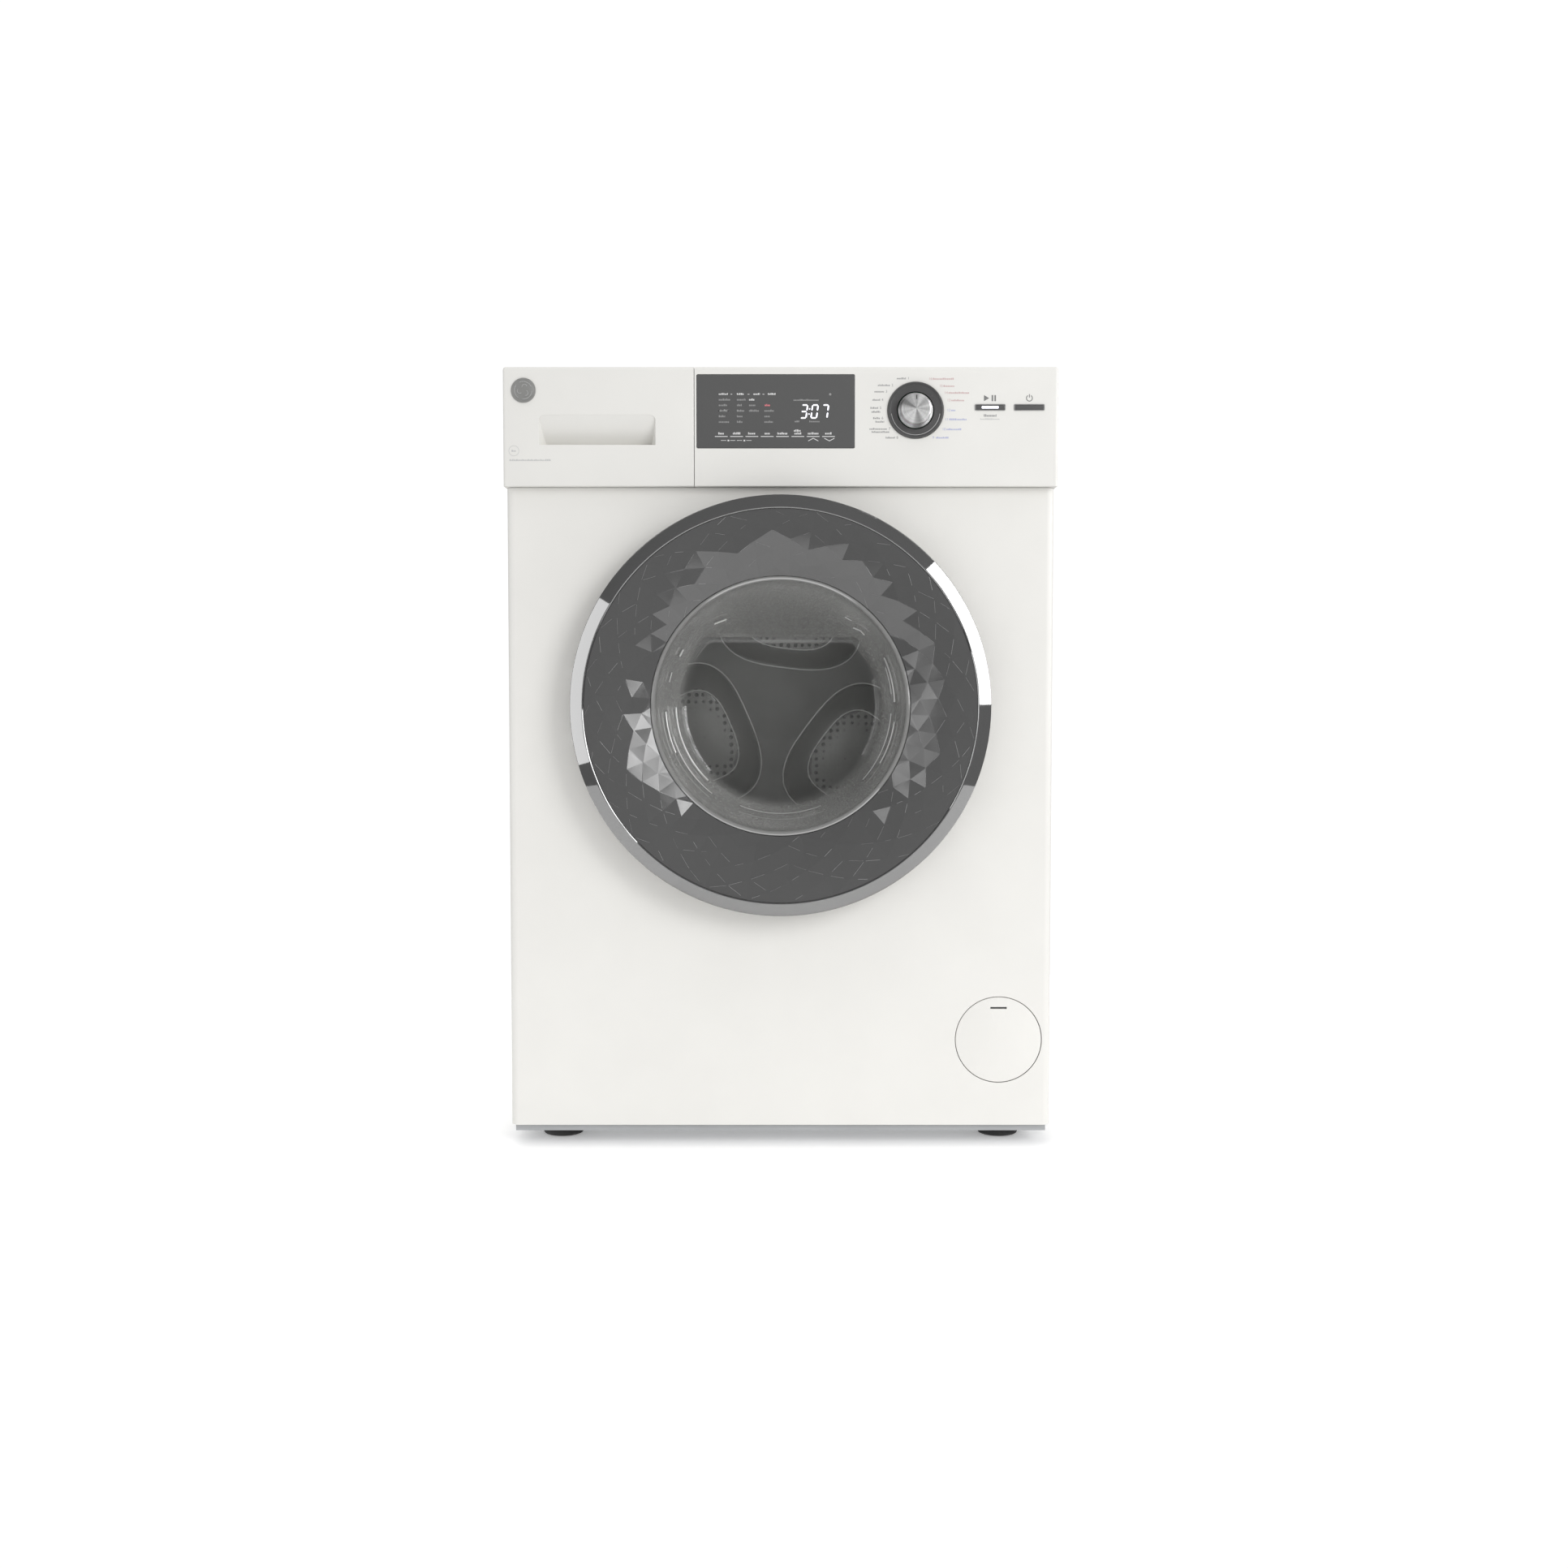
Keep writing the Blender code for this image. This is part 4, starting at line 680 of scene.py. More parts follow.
def build_connections():
    """Threaded inlets, the drain spigot, the mains gland and the four feet."""
    for name, x in (("hot_inlet", 0.160), ("cold_inlet", 0.220)):
        z, end = 0.775, cad_box[1][1]
        start = REAR_Y - 0.0040
        profile = [(0.0085, end), (0.0112, end), (0.0121, end - 0.0008)]
        for turn in range(9):
            y = end - 0.0016 - turn * 0.0018
            profile += [(0.0129, y), (0.0129, y - 0.0004), (0.0119, y - 0.0009), (0.0119, y - 0.0013)]
        profile += [(0.0129, REAR_Y + 0.0060), (0.0148, REAR_Y + 0.0055), (0.0148, start), (0.0085, start)]
        thread = lathe(name + "_thread", profile, (x, 0, z), 64)
        wear(thread, "cabinet", SHELL, ["inlet_valve"])
        disc = [(0, end - 0.0100), (0.0084, end - 0.0100), (0.0084, end - 0.0108), (0, end - 0.0108)]
        sieve = lathe(name + "_sieve", disc, (x, 0, z), 48)
        wear(sieve, "cabinet", BLUE)
    valve_low, valve_high = CAD["inlet_valve"]
    body = block("inlet_valve_body", valve_low, (valve_high.x, 0.2862, valve_high.z), 0.004, 3)
    wear(body, "cabinet", SHELL, ["inlet_valve"])

    low, high = CAD["drain_outlet"]
    spot = box_middle("drain_outlet") * Vector((1, 0, 1))
    y0, y1 = REAR_Y + 0.0001, high.y
    profile = [(0.0100, low.y), (0.0100, y1), (0.0142, y1), (0.0150, y1 - 0.0012), (0.0138, y1 - 0.006),
               (0.0150, y1 - 0.0065), (0.0138, y1 - 0.0125), (0.0145, y1 - 0.0130), (0.0145, y0 + 0.003),
               (0.0200, y0 + 0.0025), (0.0200, y0), (0.0150, REAR_Y - 0.0023), (0.0200, REAR_Y - 0.0024),
               (0.0200, low.y)]
    wear(lathe("drain_spigot", profile, spot, 64), "cabinet", GREY, ["drain_outlet"])

    low, high = CAD["mains_gland"]
    spot = box_middle("mains_gland") * Vector((1, 0, 1))
    profile = [(0.0045, low.y), (0.0045, high.y), (0.0068, high.y), (0.0078, high.y - 0.0010)]
    for ring in range(3):
        y = high.y - 0.0030 - ring * 0.0030
        profile += [(0.0080 + ring * 0.0006, y), (0.0070 + ring * 0.0006, y - 0.0005),
                    (0.0070 + ring * 0.0006, y - 0.0013)]
    profile += [(0.0100, REAR_Y + 0.0020), (0.0100, REAR_Y - 0.0023), (0.0140, REAR_Y - 0.0023),
                (0.0140, low.y)]
    wear(lathe("mains_gland_boot", profile, spot, 48), "cabinet", DARK, ["mains_gland"])

    for end in ("front", "rear"):
        for side in ("left", "right"):
            node = f"foot_{end}_{side}"
            spot = box_middle(node) * Vector((1, 1, 0))
            pad = [(0, 0), (0.0195, 0), (0.0215, 0.0008), (0.0225, 0.0026), (0.0218, 0.0050),
                   (0.0195, 0.0078),
                   (0.0125, 0.0090), (0.0110, 0.0098), (0.0110, 0.0146), (0.0060, 0.0146)]
            for turn in range(14):
                z = 0.0160 + turn * 0.0025
                pad += [(0.0052, z), (0.0060, z + 0.0008), (0.0060, z + 0.0012), (0.0052, z + 0.0020)]
            pad += [(0.0052, 0.0519), (0, 0.0519)]
            foot = lathe(node + "_pad", pad, spot, 48, axis="Z")
            wear(foot, f"{end}_{side}_foot", BLACK_RUBBER, [node])


# Console ---------------------------------------------------------------------------------------------------

def console_shell(name, low, high, outer_side):
    """A front moulding, open at the back, with a larger radius on the cabinet's outer edges."""
    low, high = Vector(low), Vector(high)
    half = (high - low) / 2

    def is_outer(a, b):
        front = a.y < 0 and b.y < 0
        top = a.z > 0 and b.z > 0
        side = a.x * outer_side > 0 and b.x * outer_side > 0
        return (front and (top or side)) or (top and side)

    bm = bmesh.new()
    bmesh.ops.create_cube(bm, size=1.0)
    bmesh.ops.scale(bm, vec=half * 2, verts=bm.verts)
    chosen = [edge for edge in bm.edges if is_outer(edge.verts[0].co, edge.verts[1].co)]
    bmesh.ops.bevel(bm, geom=chosen, offset=0.0032, segments=5, profile=0.5, affect="EDGES")
    small = []
    for edge in bm.edges:
        a, b = edge.verts[0].co, edge.verts[1].co
        on_front = abs(a.y + half.y) < 1e-6 and abs(b.y + half.y) < 1e-6
        inner = abs(a.x + outer_side * half.x) < 1e-6 and abs(b.x + outer_side * half.x) < 1e-6
        bottom = abs(a.z + half.z) < 1e-6 and abs(b.z + half.z) < 1e-6
        if on_front and (inner or bottom):
            small.append(edge)
    bmesh.ops.bevel(bm, geom=small, offset=0.0009, segments=3, profile=0.5, affect="EDGES")
    back = [face for face in bm.faces if face.normal.y > 0.99
            and abs(face.calc_center_median().y - half.y) < 1e-5]
    bmesh.ops.delete(bm, geom=back, context="FACES_ONLY")
    shell = linked(name, to_mesh(bm, name), (low + high) / 2)
    thicken(shell, 0.0028)
    return shell


def build_fascia():
    fascia = console_shell("fascia_moulding", CONSOLE_LOW, CONSOLE_HIGH, 1)
    front, back = CONSOLE_Y - 0.01, CONSOLE_Y + 0.008
    low, high = CAD["display_window"]
    slack = 0.0004
    opening = rounded((low.x - slack, low.z - slack), (high.x + slack, high.z + slack), 0.0016)
    carve(fascia, flat("cut", [opening], front, back))
    dial = box_middle("dial_bezel")
    carve(fascia, rod("cut", 0.0304, (dial.x, back, dial.z), (dial.x, front, dial.z), steps=96))
    for node in ("start_button", "power_button"):
        carve(fascia, upright_block(box_middle(node), 0.0158, 0.0029, front, back))
    wear(fascia, "cabinet", SHELL, ["console_fascia"])

    window = flat("display_pane", [rounded((low.x, low.z), (high.x, high.z), 0.0013)], low.y, high.y,
                  bevel=0.0004)
    wear(window, "cabinet", SCREEN, ["display_window"])
    build_display(low, high)
    build_dial(dial)
    build_buttons()


def bars(name, rows, y, paint):
    """Thin printed bars, each given by its left, right, lower and upper edges."""
    made = [block(name + "_bar", (x0, y - PRINT[0], z0), (x1, y - PRINT[1], z1)) for x0, x1, z0, z1 in rows]
    return wear(join(name, made), "cabinet", paint, angle=0)


def words(name, entries, y, paint, body="cabinet", height=0.0019):
    """Rows of small upright blocks standing in for printed words: (left, right, middle height)."""
    made = []
    for x0, x1, z in entries:
        x = x0
        while x < x1 - 0.0004:
            width = min(random.uniform(0.0007, 0.0015), x1 - x)
            tall = height * random.choice((0.72, 0.72, 1.0))
            bottom = z - height / 2
            made.append(block(name + "_block", (x, y - PRINT[0], bottom),
                              (x + width, y - PRINT[1], bottom + tall)))
            x += width + 0.0004
    return wear(join(name, made), body, paint, angle=0)


def segment_digit(figure, x, z, width, height, thick):
    """The lit bars of one seven segment figure, as outlines leaning slightly."""
    lit = {"0": "abcdef", "1": "bc", "2": "abged", "3": "abgcd", "4": "fgbc", "5": "afgcd", "6": "afgedc",
           "7": "abc", "8": "abcdefg", "9": "abfgcd"}[figure]
    gap = thick * 0.15
    half = height / 2
    places = {
        "a": ((x, z + height - thick), (x + width, z + height), True),
        "g": ((x, z + half - thick / 2), (x + width, z + half + thick / 2), True),
        "d": ((x, z), (x + width, z + thick), True),
        "f": ((x, z + half), (x + thick, z + height), False),
        "b": ((x + width - thick, z + half), (x + width, z + height), False),
        "e": ((x, z), (x + thick, z + half), False),
        "c": ((x + width - thick, z), (x + width, z + half), False),
    }
    loops = []
    for key in lit:
        (x0, z0), (x1, z1), lying = places[key]
        nib = thick / 2
        if lying:
            x0, x1 = x0 + nib + gap, x1 - nib - gap
            middle = (z0 + z1) / 2
            outline = [(x0, middle), (x0 + nib, z0), (x1 - nib, z0), (x1, middle), (x1 - nib, z1),
                       (x0 + nib, z1)]
        else:
            z0, z1 = z0 + nib + gap, z1 - nib - gap
            middle = (x0 + x1) / 2
            outline = [(middle, z0), (x1, z0 + nib), (x1, z1 - nib), (middle, z1), (x0, z1 - nib),
                       (x0, z0 + nib)]
        lean = 0.13
        loops.append([(px + (pz - z) * lean, pz) for px, pz in outline])
    return loops


def build_display(low, high):
    """Option columns, a lit time, and a row of eight touch keys, in millimetres from the top left corner."""
    y = low.y
    mm = 0.001

    def span(start, length, down):
        return low.x + start * mm, low.x + (start + length) * mm, high.z - down * mm

    random.seed(7)
    row_pitch, first_row = 5.9, 26.5
    headings = [span(*entry, 20.6) for entry in ((23.6, 9.7), (43.0, 7.2), (60.7, 6.8), (76.2, 8.4))]
    options = []
    for start, lengths in ((23.6, (12.2, 8.8, 10.1, 6.8, 11.0)), (43.0, (9.3, 5.1, 8.0, 5.9, 5.9)),
                           (56.0, (0, 6.8, 10.5)), (72.4, (0, 0, 10.1, 5.9, 9.7))):
        for row, length in enumerate(lengths):
            if length:
                options.append(span(start, length, first_row + row * row_pitch))
    words("display_headings", headings, y, PRINT_AND_HIGHLIGHT_MARK, height=0.0020)
    words("display_options", options, y, DIM_MARK, height=0.0022)
    chosen = [span(56.0, 5.9, first_row), span(23.6, 10.1, first_row + 2 * row_pitch)]
    words("display_chosen", chosen, y, PRINT_AND_HIGHLIGHT_MARK, height=0.0022)
    words("display_option_red", [span(72.8, 5.5, first_row + row_pitch)], y, RED_MARK, height=0.0022)
    captions = [span(103.6, 27.0, 27.0), span(104.9, 5.5, 49.7), span(120.5, 11.0, 49.7)]
    words("display_captions", captions, y, DIM_MARK)
    dashes = []
    for start in (36.0, 54.4, 70.4):
        x0, x1, z = span(start, 2.0, 20.9)
        dashes.append((x0, x1, z - 0.0003, z + 0.0003))
    bars("display_heading_dashes", dashes, y, PRINT_AND_HIGHLIGHT_MARK)

    loops = []
    x, z = low.x + 110.2 * mm, high.z - 46.8 * mm
    digit_h, digit_w, thick = 0.0152, 0.0074, 0.0015
    for figure, offset in (("3", 0.0), ("0", 0.0112), ("7", 0.0224)):
        loops += segment_digit(figure, x + offset, z, digit_w, digit_h, thick)
    for dot_z in (z + digit_h * 0.32, z + digit_h * 0.68):
        loops.append(circle((x + 0.0093 + (dot_z - z) * 0.13, dot_z), 0.0007, 12))
    printed("display_figures", loops, y, LIT, off=PANE_PRINT)

    underlines, labels = [], []
    for index, length in enumerate((6.3, 8.0, 8.0, 5.5, 11.0, 7.2, 11.4, 7.2)):
        start = 19.4 + index * 16.4
        x0, x1, z = span(start, 13.6, 65.7)
        underlines.append((x0, x1, z - 0.0004, z + 0.0004))
        labels.append(span(start + (13.6 - length) / 2, length, 62.4))
    labels.append(span(104.0, 7.2, 59.4))
    bars("touch_key_lines", underlines, y, PRINT_AND_HIGHLIGHT_MARK)
    words("touch_key_labels", labels, y, PRINT_AND_HIGHLIGHT_MARK, height=0.0023)
    hints = []
    for start, length in ((25.7, 5.9), (35.8, 5.5), (43.0, 5.4), (53.0, 5.6)):
        x0, x1, z = span(start, length, 69.9)
        hints.append((x0, x1, z - 0.00025, z + 0.00025))
    for start in (32.9, 50.0):
        x0, x1, z = span(start, 1.8, 69.9)
        hints.append((x0, x1, z - 0.0009, z + 0.0007))
    bars("touch_key_hints", hints, y, PRINT_AND_HIGHLIGHT_MARK)
    chevrons = []
    for middle, up in ((124.7, 1), (142.0, -1)):
        x0, z0 = low.x + middle * mm, high.z - 69.0 * mm
        half, rise, thin = 0.0054, 0.0014 * up, 0.0004
        below = [(x0 - half, z0 - rise - thin), (x0, z0 + rise - thin), (x0 + half, z0 - rise - thin)]
        above = [(x0 + half, z0 - rise + thin), (x0, z0 + rise + thin), (x0 - half, z0 - rise + thin)]
        chevrons.append(below + above)
    printed("touch_key_chevrons", chevrons, y, PRINT_AND_HIGHLIGHT_MARK, off=PANE_PRINT)
    ring = circle((low.x + 142.8 * mm, high.z - 21.0 * mm), 0.0013, 24)
    printed("display_status_dot", [ring], y, DIM_MARK, off=PANE_PRINT)


def build_dial(dial):
    """Dark dished ring, turned metal knob, and sixteen numbered programme marks round it."""
    y = CONSOLE_Y
    ring = [(0.0300, y - 0.0016), (0.0297, y - 0.0022), (0.0290, y - 0.0024), (0.0284, y - 0.0020),
            (0.0276, y - 0.0008), (0.0225, y + 0.0008), (0.0200, y + 0.0012), (0.0200, y + 0.0050),
            (0.0300, y + 0.0050)]
    wear(lathe("dial_ring", ring, (dial.x, 0, dial.z), 128), "cabinet", RING_GLOSS, ["dial_bezel"])
    # A pale thin arc on the ring's lower half: a painted highlight along the dished ring's inner edge.
    glint = arc((dial.x, dial.z), 0.0262, 188, 352, 48)
    route = [(x, y - 0.0004, z) for x, z in glint]
    wear(wire("dial_painted_highlight_line", route, 0.00022), "cabinet", PRINT_AND_HIGHLIGHT_MARK)
    cap = [(0, y - 0.0158), (0.0100, y - 0.0158), (0.0136, y - 0.0158), (0.0150, y - 0.0155),
           (0.0158, y - 0.0148),
           (0.0161, y - 0.0138), (0.0166, y - 0.0020), (0.0166, y - 0.0004), (0.0184, y + 0.0002),
           (0.0188, y + 0.0010), (0.0188, y + 0.0038), (0, y + 0.0038)]
    knob = lathe("knob_cap", cap, (dial.x, 0, dial.z), 128)
    wear(knob, "knob", CAP_METAL, ["program_knob"])
    stem = rod("knob_stem", 0.0029, (dial.x, y + 0.0040, dial.z), (dial.x, -0.2724, dial.z), 24)
    wear(stem, "knob", DARK, ["program_knob"])
    pointer = block("knob_pointer", (dial.x - 0.0006, y - 0.01592, dial.z + 0.0095),
                    (dial.x + 0.0006, y - 0.01575, dial.z + 0.0140))
    wear(pointer, "knob", DARK, angle=0)

    mm = 0.001
    random.seed(23)
    left = ((-20.2, -5.9, 33.7), (-40.4, -23.2, 26.5), (-44.2, -29.5, 19.8), (-46.3, -33.7, 11.0),
            (-48.4, -35.8, 2.5), (-45.5, -33.7, -8.4), (-49.3, -26.1, -19.8), (-32.0, -17.7, -29.1),
            (-47.2, -37.9, -1.7), (-43.0, -33.7, -12.2), (-47.0, -28.0, -23.0))
    upper = ((13.9, 41.3, 33.3), (25.3, 41.3, 25.7), (30.7, 57.7, 18.5), (33.7, 51.8, 10.5))
    lower = ((33.7, 42.5, 0.0), (31.6, 55.2, -9.7), (28.6, 48.9, -20.2), (17.3, 35.4, -29.1))
    room = 4.4
    for name, rows, side, paint in (("left", left, -1, INK), ("upper_right", upper, 1, RED_INK),
                                    ("lower_right", lower, 1, BLUE_INK)):
        entries = []
        for index, (start, end, up) in enumerate(rows):
            numbered = side > 0 or index < 8
            if numbered:
                start, end = (start, end - room) if side < 0 else (start + room, end)
            entries.append((dial.x + start * mm, dial.x + end * mm, dial.z + up * mm))
        words(f"dial_words_{name}", entries, y, paint)
    order = left[:8] + lower[::-1] + upper[::-1]
    for index, (start, end, up) in enumerate(order):
        x = end - room / 2 + 0.4 if start < 0 else start + room / 2 - 0.4
        paint = INK if start < 0 else (RED_INK if up > 5 else BLUE_INK)
        number(f"dial_number_{index + 1}", str(index + 1), dial.x + x * mm, dial.z + up * mm, y, 0.0038,
               paint)


def number(name, text, x, z, y, size, paint):
    """A figure printed on the console."""
    curve = bpy.data.curves.new(name, "FONT")
    curve.body = text
    curve.size = size
    curve.align_x = "CENTER"
    curve.align_y = "CENTER"
    curve.extrude = 0.00006
    obj = linked(name, curve_mesh(curve))
    obj.data.transform(Matrix.Translation((x, y - 0.00008, z)) @ UPRIGHT)
    return wear(obj, "cabinet", paint, angle=0)


def build_buttons():
    """Two flat keys in thin bezels, one with a lit bar, and the symbols above them."""
    y = CONSOLE_Y
    for node, body in (("start_button", "start_key"), ("power_button", "power_key")):
        low, high = CAD[node]
        middle = box_middle(node)
        outer = rounded((middle.x - 0.0164, middle.z - 0.0034), (middle.x + 0.0164, middle.z + 0.0034),
                        0.0012)
        inner = rounded((middle.x - 0.0155, middle.z - 0.0026), (middle.x + 0.0155, middle.z + 0.0026),
                        0.0008)
        bezel = flat(node + "_bezel", [outer, inner], y - 0.0009, y - 0.00005, bevel=0.0002, rounds=2)
        wear(bezel, "cabinet", BEZEL)
        key = block(node + "_key", low, high, 0.0004, 2)
        wear(key, body, SCREEN, [node])
        if node == "start_button":
            bar = rounded((middle.x - 0.0090, middle.z - 0.0013), (middle.x + 0.0090, middle.z + 0.0013),
                          0.0006)
            printed(node + "_lamp", [bar], low.y, LIT, body)
    start, power = box_middle("start_button"), box_middle("power_button")
    up = start.z + 0.0098
    play = [[(start.x - 0.0066, up - 0.0032), (start.x - 0.0010, up), (start.x - 0.0066, up + 0.0032)]]
    for x in (start.x + 0.0016, start.x + 0.0046):
        play.append([(x, up - 0.0032), (x + 0.0016, up - 0.0032), (x + 0.0016, up + 0.0032),
                     (x, up + 0.0032)])
    printed("start_symbol", play, y, DARK_INK)
    ring = arc((power.x, up), 0.0036, 122, 418, 40) + arc((power.x, up), 0.0027, 122, 418, 40)[::-1]
    left, right = power.x - 0.00045, power.x + 0.00045
    stroke = [(left, up + 0.0006), (right, up + 0.0006), (right, up + 0.0042), (left, up + 0.0042)]
    printed("power_symbol", [ring, stroke], y, DARK_INK)
    words("start_hint", [(start.x - 0.0068, start.x + 0.0068, start.z - 0.0086)], y, INK, height=0.0026)
    words("start_small_hint", [(start.x - 0.0105, start.x + 0.0105, start.z - 0.0124)], y, PALE_INK,
          height=0.0014)


def build_drawer():
    front = console_shell("drawer_moulding", DRAWER_LOW, DRAWER_HIGH, -1)
    pull_low, pull_high = (-0.2589, 0.7619), (-0.1339, 0.7940)
    backing = block("cut", (pull_low[0] - 0.004, CONSOLE_Y + 0.001, pull_low[1] - 0.004),
                    (pull_high[0] + 0.004, DRAWER_HIGH.y - 0.0006, pull_high[1] + 0.004))
    carve(front, backing, "UNION")
    bm = bmesh.new()
    rows, corner, deepest = 18, 0.0062, 0.0200
    sections = []
    for row in range(rows + 1):
        share = row / rows
        z = pull_high[1] + (pull_low[1] - pull_high[1]) * share
        below = pull_high[1] - z
        inset = corner - math.sqrt(max(0.0, corner ** 2 - (corner - below) ** 2)) if below < corner else 0.0
        depth = 0.0003 + (deepest - 0.0003) * share ** 1.35
        splay = 0.0065 * depth / deepest
        x0, x1 = pull_low[0] + inset, pull_high[0] - inset
        places = ((x0, -0.004), (x1, -0.004), (x1, 0.0), (x1 - splay, depth), (x0 + splay, depth), (x0, 0.0))
        sections.append([bm.verts.new((x, CONSOLE_Y + back, z)) for x, back in places])
    skin(bm, sections)
    bm.faces.new(sections[0])
    bm.faces.new(sections[-1][::-1])
    carve(front, linked("cut", to_mesh(bm, "cut")))
    soften(front, 0.0007, 3, 38)
    wear(front, "drawer", SHELL, ["drawer_front"], angle=50)

    y = CONSOLE_Y
    badge = [(0, y - 0.0009), (0.0112, y - 0.0009), (0.0120, y - 0.0013), (0.0129, y - 0.0012),
             (0.0133, y - 0.0002),
             (0.0133, y - 0.0001), (0, y - 0.0001)]
    badge_x, badge_z = -0.2752, 0.8198
    wear(lathe("blank_badge", badge, (badge_x, 0, badge_z), 96), "drawer", BADGE)
    swirls = []
    for turn in range(3):
        around = 120 * turn + 20
        swirls.append(arc((badge_x, badge_z), 0.0098, around, around + 95, 20)
                      + arc((badge_x, badge_z), 0.0090, around + 8, around + 95, 20)[::-1])
        away = math.radians(around + 50)
        heart = (badge_x + 0.0038 * math.cos(away), badge_z + 0.0038 * math.sin(away))
        swirls.append(arc(heart, 0.0031, around - 10, around + 170, 16)
                      + arc(heart, 0.0023, around, around + 170, 16)[::-1])
    wear(flat("badge_swirl", swirls, y - 0.0012, y - 0.00092), "drawer", SILVER,
         angle=0)
    mark = [circle((-0.2858, 0.7556), 0.0056, 48), circle((-0.2858, 0.7556), 0.0052, 48)[::-1]]
    printed("small_ring_mark", mark, y, PALE_INK, "drawer")
    words("small_ring_word", [(-0.2883, -0.2832, 0.7556)], y, PALE_INK, body="drawer", height=0.0022)
    words("drawer_words", [(-0.2905, -0.2462, 0.7457)], y, PALE_INK, body="drawer")


# Door ------------------------------------------------------------------------------------------------------

def dish_depth(radius):
    """How far behind the door's face the dish lies at a radius: nearly flat outside, steep inside."""
    share = (DISH_OUT_R - radius) / (DISH_OUT_R - DISH_IN_R)
    return 0.0010 + 0.0265 * share ** 1.8


def build_dish():
    """Dark moulding of staggered flat lozenges, twenty-eight to a row, between two round edges."""
    columns, arc_steps = 28, 6
    random.seed(11)
    radii = (0.2092, 0.1985, 0.1874, 0.1774, 0.1683, 0.1589, 0.1495, 0.1400)
    bm = bmesh.new()
    grid = {}

    def point(row, half_column):
        """The lattice point at a row and a count of half columns."""
        half_column %= 2 * columns
        if (row, half_column) not in grid:
            angle = math.pi * half_column / columns + 0.05
            radius = radii[row]
            inside = 0 < row < len(radii) - 1
            uneven = 0.0008 if row < 4 else 0.0013
            y = DOOR_FACE_Y + dish_depth(radius) + (random.uniform(-uneven, uneven) if inside else 0.0)
            grid[row, half_column] = bm.verts.new((radius * math.cos(angle), y, radius * math.sin(angle)))
        return grid[row, half_column]

    def rim_run(row, half_column):
        """Points along a round edge, from one lattice point to the next in its row."""
        radius = radii[row]
        y = DOOR_FACE_Y + dish_depth(radius)
        run = [point(row, half_column)]
        for step in range(1, arc_steps):
            angle = math.pi * (half_column + 2 * step / arc_steps) / columns + 0.05
            run.append(bm.verts.new((radius * math.cos(angle), y, radius * math.sin(angle))))
        return run + [point(row, half_column + 2)]

    last = len(radii) - 1
    for column in range(columns):
        for row in range(last - 1):
            start = 2 * column + row % 2
            bm.faces.new((point(row, start), point(row + 1, start + 1),
                          point(row + 2, start), point(row + 1, start - 1)))
        bm.faces.new(rim_run(0, 2 * column) + [point(1, 2 * column + 1)])
        start = 2 * column + last % 2
        bm.faces.new(rim_run(last, start) + [point(last - 1, start + 1)])
    # Thin pale wires along some lattice edges: painted glints standing in for light caught on the facet
    # edges.
    painted_glints = []
    for (row, half_column), vert in sorted(grid.items()):
        for side in (-1, 1):
            other = grid.get((row + 1, (half_column + side) % (2 * columns)))
            if other is None or random.random() > (0.72 if row < 4 else 0.20):
                continue
            start, length = random.uniform(0.02, 0.35), random.uniform(0.25, 0.75)
            ends = [vert.co.lerp(other.co, share) for share in (start, min(0.95, start + length))]
            proud = Vector((0, -0.00010, 0))
            painted_glints.append(wire("glint", [end + proud for end in ends], random.uniform(0.00007, 0.00018), 1))
    dish = linked("faceted_dish", to_mesh(bm, "faceted_dish"), AXIS)
    thicken(dish, 0.0022)
    soften(dish, 0.00035, 1, 1.0)
    wear(dish, "door", DISH, ["door_lens_dish"], angle=0)
    for glint in painted_glints:
        glint.location = AXIS
    wear(join("facet_painted_glint_lines", painted_glints), "door", PAINTED_GLINT, angle=60)


def bowl_cut(angle):
    """The share of the bowl's radius left at its bottom: round, but cut straight across the top."""
    back_r, chord = 0.1120, 0.0765
    upward = math.sin(angle)
    if upward <= chord / back_r:
        return 1.0
    return chord / upward / back_r


